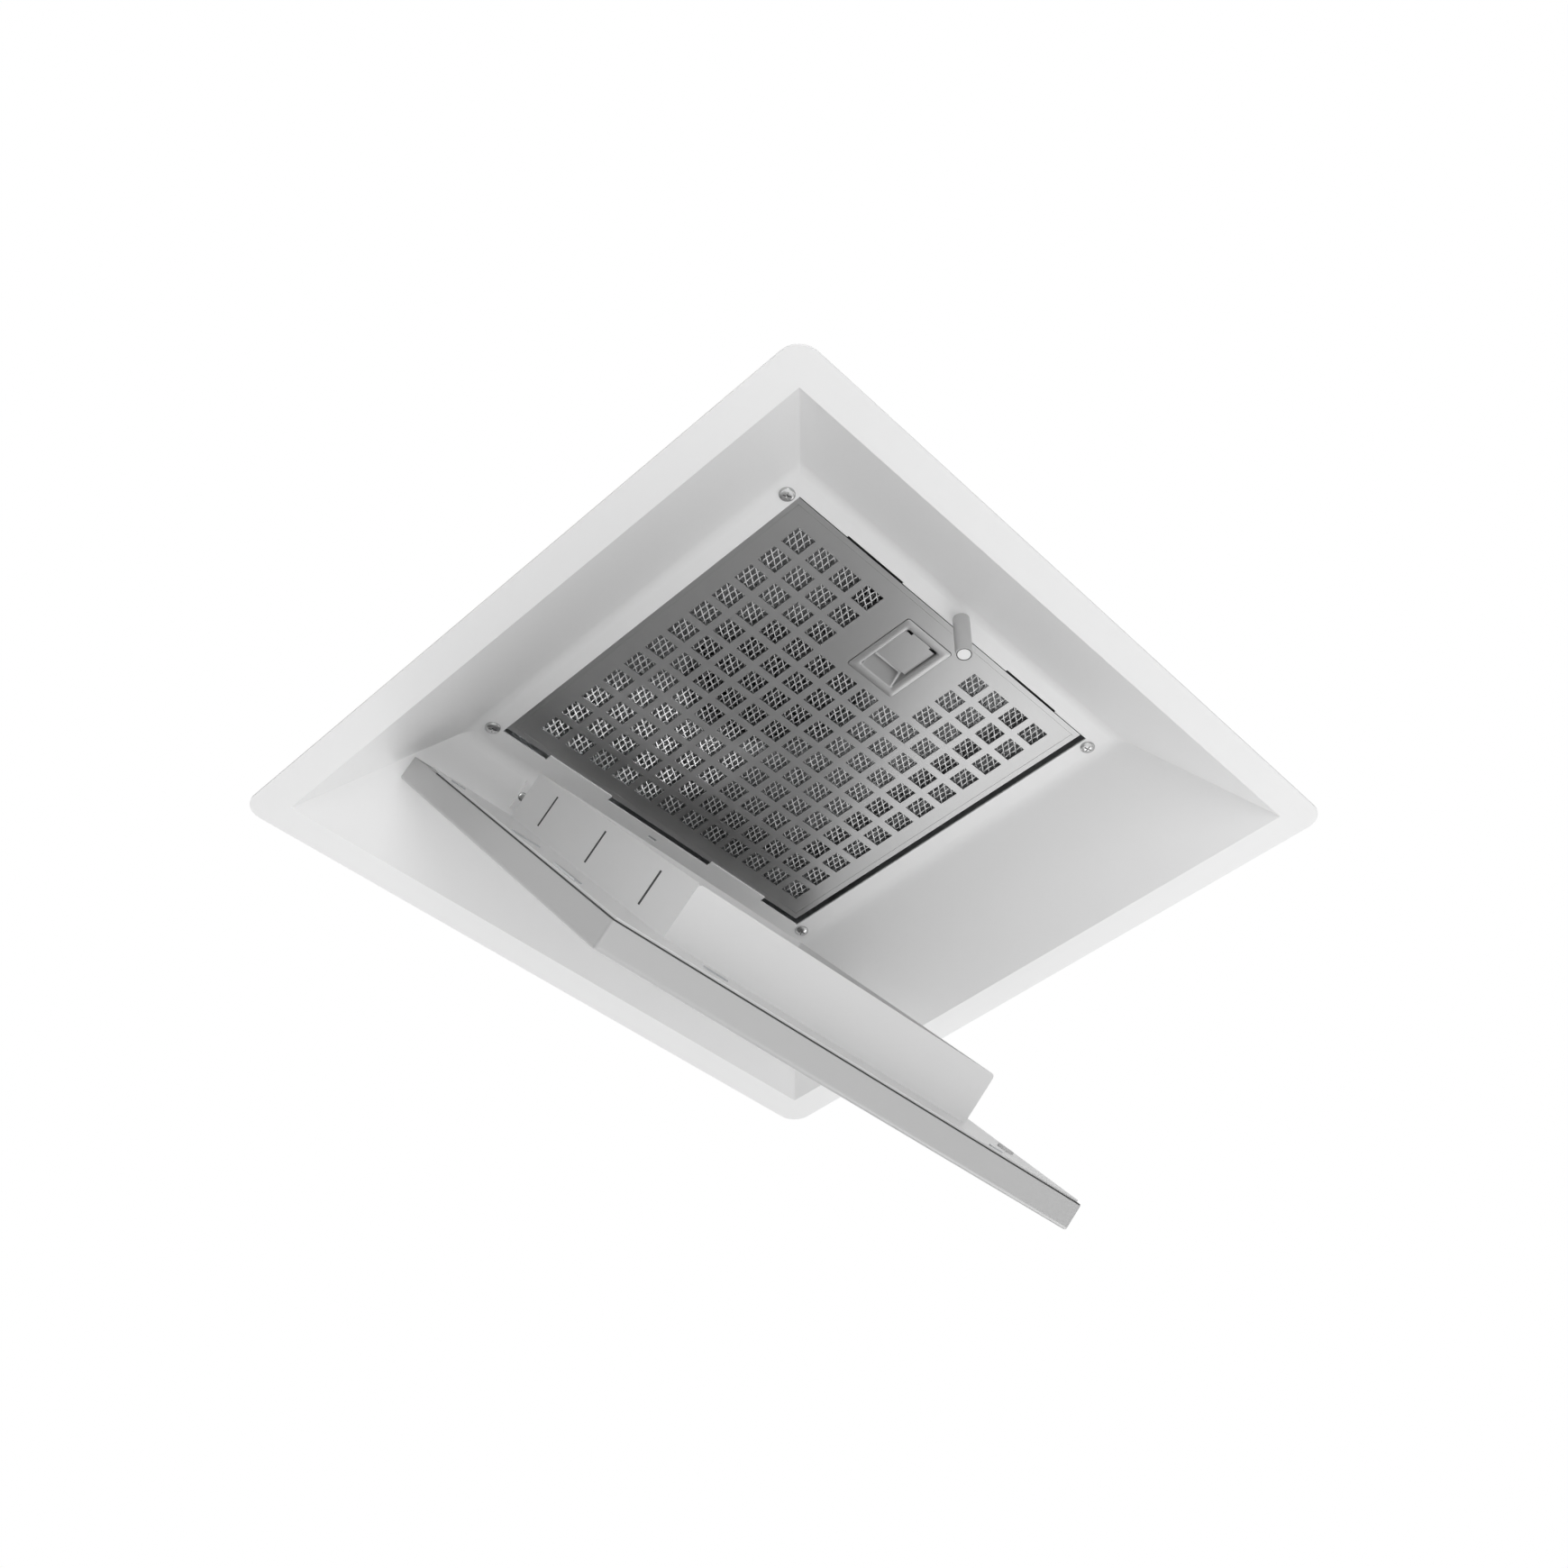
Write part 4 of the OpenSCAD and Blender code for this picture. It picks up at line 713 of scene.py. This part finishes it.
class HOOD_OT_filter(bpy.types.Operator):
    """Make the layers of expanded mesh behind the filter's holes and the fold line round its plate"""

    bl_idname = "hood.filter"
    bl_label = "Filter mesh and fold line"

    def execute(self, context):
        size = context.scene.hood_filter
        strands = strand_tree()
        low, high = corners("filter_mesh")
        cup_low, cup_high = corners("handle_cup")
        air = size.strand
        # No mesh behind the finger recess, nor from there to the plate's edge, where the latch runs
        gap = ((cup_low.x - air, cup_low.y - air), (high.x + air, cup_high.y + air))
        for layer in MESH_LAYERS:
            start = (low.x + air, low.y + air, low.z + layer.depth)
            end = (high.x - air, high.y - air)
            cell = (size.cell * layer.long, size.cell * layer.short)
            grow(
                layer.name,
                diamond_paths(layer.name, start, end, cell, size.lift, gap, layer.turn),
                strands,
                {"Strand width": size.strand, "Strand tilt": size.tilt},
                bpy.data.materials[layer.finish],
                "hood",
                ("filter_mesh",),
                smooth=0,
            )
        self.fold_line(size)
        return {"FINISHED"}

    def fold_line(self, size):
        """A low bead that runs round the plate."""
        low, high = corners("filter_face")
        bead = size.fold
        face = low.z - bead / 4
        near = low + Vector((size.fold_in,) * 3)
        far = high - Vector((size.fold_in,) * 3)
        beads = [
            ((near.x, near.y, face), (far.x, near.y + bead, low.z)),
            ((near.x, far.y - bead, face), (far.x, far.y, low.z)),
            ((near.x, near.y, face), (near.x + bead, far.y, low.z)),
            ((far.x - bead, near.y, face), (far.x, far.y, low.z)),
        ]
        grow(
            "plate_fold",
            slab_mesh("plate_fold", beads, Vector()),
            slab_tree(),
            {"Turn": Euler(), "Pivot": Vector()},
            bpy.data.materials["filter_sheet"],
            "hood",
            smooth=0,
        )


def slab_tree():
    """A plain slab on every point, as large as the point's extent, and then turned as one."""
    group, size = tree("slabs", Rotation=("Turn",), Vector=("Pivot",))
    unit = cuboid(group, (1, 1, 1))
    values = {"Points": size["Geometry"], "Instance": unit, "Scale": stored(group, "extent")}
    copies = step(group, "GeometryNodeInstanceOnPoints", values).outputs[0]
    end_tree(group, moved(group, copies, size["Pivot"], size["Turn"]), size["Material"])
    return group


def slab_mesh(name, slabs, pivot):
    """Points in the middle of the slabs, with their extents, counted from the pivot."""
    points = bpy.data.meshes.new(name)
    low_high = [(Vector(low), Vector(high)) for low, high in slabs]
    points.from_pydata([tuple((low + high) / 2 - pivot) for low, high in low_high], [], [])
    extent = points.attributes.new("extent", "FLOAT_VECTOR", "POINT")
    for item, (low, high) in zip(extent.data, low_high):
        item.vector = high - low
    return points


class HOOD_OT_door_shade_strips(bpy.types.Operator):
    """Lay dark strips as painted shade: one along three sides of the door's back plate for the shade line in
    its gap, and one in each of the collar's slots for the shade inside them
    """

    bl_idname = "hood.door_trim"
    bl_label = "Door seal and slot strips"

    def execute(self, context):
        size = context.scene.hood_door
        slabs = slab_tree()
        # Both pieces are painted shade: dark strips for the shade line round the back plate and for the shade
        # inside the slots
        for name, places in (("door_seal", gap_shade_places(size)), ("slot_strips", slot_shade_places(size))):
            pivot = Vector(size.pin)
            grow(
                name,
                slab_mesh(name, places, pivot),
                slabs,
                {"Turn": Euler((0, DOOR_OPEN, 0)), "Pivot": pivot},
                bpy.data.materials["rubber"],
                "door",
                smooth=0,
            )
        return {"FINISHED"}


def gap_shade_places(size):
    """Painted shade on three sides of the closed door's back plate: a dark strip, laid as a seal, in the
    shade line of the gap.
    """
    inside = size.plate_half
    out = inside + size.gap_shade
    low = size.lip_z
    high = low + size.gap_shade_height
    return [
        ((size.gap_shade_start, inside, low), (out, out, high)),
        ((size.gap_shade_start, -out, low), (out, -inside, high)),
        ((inside, -inside, low), (out, inside, high)),
    ]


def slot_shade_places(size):
    """Dark strips in the slots of the closed door's collar, three on either side, as painted shade inside the
    slots.
    """
    outer = size.collar_half + size.slot_proud
    inner = size.collar_half - 2 * size.collar_sheet
    places = []
    for number in (-1, 0, 1):
        middle = size.collar_middle + number * size.slot_step
        for side in (-1, 1):
            near, far = sorted((side * outer, side * inner))
            low = (middle - size.slot_half, near, size.slot_low)
            high = (middle + size.slot_half, far, size.slot_high)
            places.append((low, high))
    return places


def ring(box, corner, height, count=7):
    """A rounded rectangle: low x, low y, high x, high y, its corner radius and its height."""
    x_low, y_low, x_high, y_high = box
    centres = (
        (x_high - corner, y_high - corner),
        (x_low + corner, y_high - corner),
        (x_low + corner, y_low + corner),
        (x_high - corner, y_low + corner),
    )
    points = []
    for quarter, (x, y) in enumerate(centres):
        for k in range(count + 1):
            turn = (quarter + k / count) * pi / 2
            points.append((x + corner * cos(turn), y + corner * sin(turn), height))
    return points


def loft(name, rings):
    """A closed solid through rings with equally many points, its first and last ring filled."""
    count = len(rings[0])
    points = [point for one in rings for point in one]
    faces = [
        (a * count + k, a * count + (k + 1) % count, (a + 1) * count + (k + 1) % count, (a + 1) * count + k)
        for a in range(len(rings) - 1)
        for k in range(count)
    ]
    faces.append(tuple(reversed(range(count))))
    faces.append(tuple(range((len(rings) - 1) * count, len(rings) * count)))
    solid = bpy.data.meshes.new(name)
    solid.from_pydata(points, [], faces)
    shape = bmesh.new()
    shape.from_mesh(solid)
    bmesh.ops.recalc_face_normals(shape, faces=shape.faces)
    shape.to_mesh(solid)
    shape.free()
    return solid


def window_tree():
    """The source solid less one block."""
    group, size = tree("window", Vector=("Window size", "Window place"))
    block = moved(group, cuboid(group, size["Window size"]), size["Window place"])
    cut = less(group, size["Geometry"], block)
    end_tree(group, cut, size["Material"])
    return group


class HOOD_OT_handle(bpy.types.Operator):
    """Press the finger recess of the filter, with its proud frame and its sloped end"""

    bl_idname = "hood.handle"
    bl_label = "Finger recess"

    def execute(self, context):
        size = context.scene.hood_handle
        cup = corners("handle_cup")
        window, place = strap_window(size, cup)
        grow(
            "finger_recess",
            loft("finger_recess", recess_rings(size, cup)),
            window_tree(),
            {"Window size": window, "Window place": place},
            bpy.data.materials["filter_sheet"],
            "hood",
            ("handle_cup",),
            smooth=0.7,
        )
        return {"FINISHED"}


def recess_rings(size, cup):
    """Rings over the back of the recess, round its flange and frame, and down into its mouth."""
    low, high = cup
    middle = (low + high) / 2
    flange = low.z
    face = flange - size.proud
    half, side, mouth, finger = size.frame_half, size.frame_side, size.mouth_half, size.mouth_side
    edge, wall, slope = size.edge, size.sheet, size.slope
    deep = high.z - 2 * wall
    out_x, out_y = (high.x - low.x) / 2, (high.y - low.y) / 2
    # Half length, half width, slope of the finger end, height
    sizes = (
        (mouth + wall, finger + wall, slope - wall, deep + wall),
        (mouth + wall, finger + wall, 0, flange + wall),
        (out_x, out_y, 0, flange + wall),
        (out_x, out_y, 0, flange),
        (half, side, 0, flange),
        (half, side, 0, face + edge),
        (half - TURN_SHARE * edge, side - TURN_SHARE * edge, 0, face + TURN_SHARE * edge),
        (half - edge, side - edge, 0, face),
        (mouth + 2 * edge, finger + 2 * edge, 0, face),
        (mouth + edge, finger + edge, 0, face + MOUTH_TURN_SHARE * edge),
        (mouth, finger, 0, face + MOUTH_DEPTH_SHARE * edge),
        (mouth, finger, slope, deep - edge),
        (mouth - edge, finger - edge, slope, deep),
    )
    rings = []
    for along, across, lean, height in sizes:
        box = (middle.x - along + lean, middle.y - across, middle.x + along, middle.y + across)
        rings.append(ring(box, size.soft, height))
    return rings


def strap_window(size, cup):
    """The slot in the recess's end wall that the latch's strap runs through: its size and middle."""
    middle = (cup[0] + cup[1]) / 2
    air, wall = size.air, size.sheet
    tongue = corners("latch_tongue")[0].z
    low = tongue - air
    high = tongue + size.tongue + air
    window = Vector((2 * wall + 2 * air, 2 * (size.strap_side + air), high - low))
    place = Vector((middle.x + size.mouth_half + wall / 2, middle.y, (low + high) / 2))
    return window, place


class HOOD_OT_springs(bpy.types.Operator):
    """Lay the dark ring round the post's magnet and wind the spring of the filter's latch"""

    bl_idname = "hood.springs"
    bl_label = "Post ring and latch spring"

    def execute(self, context):
        coils = coil_tree()
        self.post_ring(coils)
        self.latch_coil(coils)
        return {"FINISHED"}

    def post_ring(self, coils):
        """One dark turn round the magnet in the post's tip."""
        low, high = corners("post_magnet")
        tip = corners("magnet_post")[0].z
        middle = (low + high) / 2
        seat = Vector((middle.x, middle.y, tip + RING_WIRE - RING_PROUD))
        radius = (high.x - low.x) / 2 + RING_WIRE
        grow(
            "post_ring",
            seat_mesh("post_ring", [(seat, Vector((0, 0, 1)))]),
            coils,
            {"Turns": 1.0, "Coil radius": radius, "Coil length": 0.0, "Wire radius": RING_WIRE},
            bpy.data.materials["rubber"],
            "hood",
        )

    def latch_coil(self, coils):
        """The latch's spring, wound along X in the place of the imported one."""
        low, high = corners("latch_spring")
        middle = (low + high) / 2
        seat = Vector((low.x + LATCH_WIRE, middle.y, middle.z))
        grow(
            "latch_coil",
            seat_mesh("latch_coil", [(seat, Vector((1, 0, 0)))]),
            coils,
            {
                "Turns": LATCH_TURNS,
                "Coil radius": (high.y - low.y) / 2 - LATCH_WIRE,
                "Coil length": high.x - low.x - 2 * LATCH_WIRE,
                "Wire radius": LATCH_WIRE,
            },
            bpy.data.materials["bright_zinc"],
            "latch",
            ("latch_spring",),
        )


class HOOD_OT_finishes(bpy.types.Operator):
    """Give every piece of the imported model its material"""

    bl_idname = "hood.finishes"
    bl_label = "Finishes"

    def execute(self, context):
        look = context.scene.hood_finish
        peel = {"bump": 0.00002, "scale": 900}
        brushed = {"grain": 0.015, "stretch": (1, 30, 1), "scale": 60}
        spangle = {"grain": 0.08, "scale": 30}
        paint = finish("powder_coat", look.paint, look.paint_rough, **peel)
        # Painted shade: the door's coat is darker than the canopy's, for the shade that falls on the door
        door = finish("door_coat", look.door, rough=0.36, metal=0.25)
        inner = finish("satin_sheet", look.collar, rough=0.46, metal=0.35)
        steel = finish("filter_sheet", look.filter_metal, rough=0.38, metal=1, **brushed)
        mesh = finish("expanded_mesh", look.mesh_metal, rough=0.36, metal=0.35)
        # Painted shade: the back layer is a darker copy of the front layer's material
        back_shade = [MESH_BACK_SHADE_SHARE * level for level in look.mesh_metal]
        finish("expanded_mesh_back", back_shade, rough=0.4, metal=0.5)
        zinc = finish("zinc_sheet", look.zinc, rough=0.42, metal=1, **spangle)
        bright = finish("bright_zinc", look.fastener, rough=0.22, metal=1)
        dark = finish("motor_paint", look.motor, rough=0.45)
        grey = finish("post_moulding", look.post, rough=0.45)
        magnet = finish("magnet_disc", look.magnet, rough=0.35, metal=0.2)
        rubber = finish("rubber", look.rubber, rough=0.7)
        white = finish("white_moulding", look.white, rough=0.45)
        black = finish("black_moulding", look.black, rough=0.4)
        alu = finish("fan_sheet", look.fan, rough=0.38, metal=1)
        by_slot = {
            "shell_paint": paint,
            "inner_steel": inner,
            "filter_steel": steel,
            "filter_mesh": mesh,
            "galvanised": zinc,
            "fastener": bright,
            "dark_metal": dark,
            "post_grey": grey,
            "magnet": magnet,
            "rubber": rubber,
            "white_plastic": white,
            "black_plastic": black,
            "fan_aluminium": alu,
        }
        for part in frame["record"]["subparts"]:
            dress([part["node"]], by_slot[part["material_slot"]])
        dress(["door_pan"], door)
        dress(["hinge_brackets"], paint)
        return {"FINISHED"}


def fading(material, level):
    """Let a floor's material fade to white away from the middle, for the camera alone."""
    nodes, links = material.node_tree.nodes, material.node_tree.links
    place = nodes.new("ShaderNodeTexCoord")
    reach = nodes.new("ShaderNodeVectorMath")
    reach.operation = "LENGTH"
    fade = nodes.new("ShaderNodeMapRange")
    fade.inputs["From Min"].default_value = abs(level.floor_z)
    fade.inputs["From Max"].default_value = level.floor_half * FADE_SHARE
    fade.inputs["To Min"].default_value = level.floor_white
    rays = nodes.new("ShaderNodeLightPath")
    seen = nodes.new("ShaderNodeMath")
    seen.operation = "MULTIPLY"
    white = nodes.new("ShaderNodeEmission")
    mix = nodes.new("ShaderNodeMixShader")
    out = next(node for node in nodes if node.type == "OUTPUT_MATERIAL")
    surface = out.inputs["Surface"].links[0].from_socket
    links.new(place.outputs["Object"], reach.inputs[0])
    links.new(reach.outputs["Value"], fade.inputs["Value"])
    links.new(fade.outputs["Result"], seen.inputs[0])
    links.new(rays.outputs["Is Camera Ray"], seen.inputs[1])
    links.new(seen.outputs[0], mix.inputs["Fac"])
    links.new(surface, mix.inputs[1])
    links.new(white.outputs[0], mix.inputs[2])
    links.new(mix.outputs[0], out.inputs["Surface"])
    return material


class HOOD_OT_stage(bpy.types.Operator):
    """Set the floor, the lamps, the surroundings and the camera"""

    bl_idname = "hood.stage"
    bl_label = "Stage"

    def execute(self, context):
        level = context.scene.hood_stage
        self.lay_floor(context.scene, level)
        self.hang_lamps(level)
        self.set_surroundings(context.scene, level)
        self.set_camera(context.scene)
        context.scene.view_settings.view_transform = "Standard"
        return {"FINISHED"}

    def lay_floor(self, scene, level):
        """A square floor, the only piece of the stage."""
        half, z = level.floor_half, level.floor_z
        square = [(-half, -half, z), (half, -half, z), (half, half, z), (-half, half, z)]
        floor = bpy.data.meshes.new("floor")
        floor.from_pydata(square, [], [(0, 1, 2, 3)])
        floor.materials.append(fading(finish("pale_floor", level.floor_colour, rough=0.6), level))
        ground = bpy.data.objects.new("floor", floor)
        scene.collection.objects.link(ground)

    def hang_lamps(self, level):
        """The soft lamps, and two narrow ones on the filter's mesh."""
        for name, width, place in SOFT_LAMPS:
            light = bpy.data.lights.new(name, "AREA")
            light.energy = getattr(level, name)
            light.size = width
            aim(bpy.data.objects.new(name, light), place, (0, 0, 0))
        beam = bpy.data.lights.new("mesh_glow", "SPOT")
        beam.energy = level.glow
        beam.spot_size = GLOW_ANGLE
        beam.spot_blend = GLOW_BLEND
        beam.shadow_soft_size = GLOW_SIZE
        for target in GLOW_TARGETS:
            aim(bpy.data.objects.new("mesh_glow", beam), GLOW_PLACE, target)

    def set_surroundings(self, scene, level):
        """Plain light from all round, which the camera, gloss and glass see as white."""
        world = bpy.data.worlds.new("surroundings")
        scene.world = world
        world.use_nodes = True
        nodes, links = world.node_tree.nodes, world.node_tree.links
        nodes.clear()
        rays = nodes.new("ShaderNodeLightPath")
        seen = rays.outputs["Is Camera Ray"]
        for kind in ("Is Glossy Ray", "Is Transmission Ray"):
            either = nodes.new("ShaderNodeMath")
            either.operation = "MAXIMUM"
            links.new(seen, either.inputs[0])
            links.new(rays.outputs[kind], either.inputs[1])
            seen = either.outputs[0]
        air = nodes.new("ShaderNodeBackground")
        air.inputs["Strength"].default_value = level.air
        white = nodes.new("ShaderNodeBackground")
        white.inputs["Color"].default_value = (1, 1, 1, 1)
        mix = nodes.new("ShaderNodeMixShader")
        out = nodes.new("ShaderNodeOutputWorld")
        links.new(seen, mix.inputs["Fac"])
        links.new(air.outputs[0], mix.inputs[1])
        links.new(white.outputs[0], mix.inputs[2])
        links.new(mix.outputs[0], out.inputs["Surface"])

    def set_camera(self, scene):
        """A camera at the photograph's viewpoint."""
        lens = bpy.data.cameras.new("camera")
        lens.sensor_width = SENSOR
        lens.lens = FOCAL_LENGTH
        lens.shift_x, lens.shift_y = LENS_SHIFT
        view = bpy.data.objects.new("camera", lens)
        turn = Euler([radians(angle) for angle in CAMERA_TURN]).to_matrix().to_4x4()
        view.matrix_world = Matrix.Translation(CAMERA_PLACE) @ turn
        scene.collection.objects.link(view)
        scene.camera = view


def aim(holder, place, target):
    """Hang a lamp at a place and turn it to a point."""
    holder.location = place
    holder.rotation_euler = (Vector(target) - Vector(place)).to_track_quat("-Z", "Y").to_euler()
    bpy.context.scene.collection.objects.link(holder)


class HOOD_PT_panel(bpy.types.Panel):
    """Lists the steps that dress the hood"""

    bl_idname = "HOOD_PT_panel"
    bl_label = "Ceiling range hood"
    bl_space_type = "VIEW_3D"
    bl_region_type = "UI"
    bl_category = "Hood"

    def draw(self, context):
        for piece in STEPS:
            self.layout.operator(piece.bl_idname)


GROUPS = (HoodFinish, HoodFilter, HoodHandle, HoodDoor, HoodStage)
STEPS = (
    HOOD_OT_finishes,
    HOOD_OT_fasteners,
    HOOD_OT_filter,
    HOOD_OT_handle,
    HOOD_OT_door_shade_strips,
    HOOD_OT_springs,
    HOOD_OT_stage,
)


def register():
    for kind in (*GROUPS, *STEPS, HOOD_PT_panel):
        bpy.utils.register_class(kind)
    bpy.types.Scene.hood_finish = bpy.props.PointerProperty(type=HoodFinish)
    bpy.types.Scene.hood_filter = bpy.props.PointerProperty(type=HoodFilter)
    bpy.types.Scene.hood_handle = bpy.props.PointerProperty(type=HoodHandle)
    bpy.types.Scene.hood_door = bpy.props.PointerProperty(type=HoodDoor)
    bpy.types.Scene.hood_stage = bpy.props.PointerProperty(type=HoodStage)


def unregister():
    del bpy.types.Scene.hood_stage
    del bpy.types.Scene.hood_door
    del bpy.types.Scene.hood_handle
    del bpy.types.Scene.hood_filter
    del bpy.types.Scene.hood_finish
    for kind in reversed((*GROUPS, *STEPS, HOOD_PT_panel)):
        bpy.utils.unregister_class(kind)


def main():
    register()
    bpy.ops.hood.finishes()
    bpy.ops.hood.fasteners()
    bpy.ops.hood.filter()
    bpy.ops.hood.handle()
    bpy.ops.hood.door_trim()
    bpy.ops.hood.springs()
    bpy.ops.hood.stage()


if __name__ == "__main__":
    main()
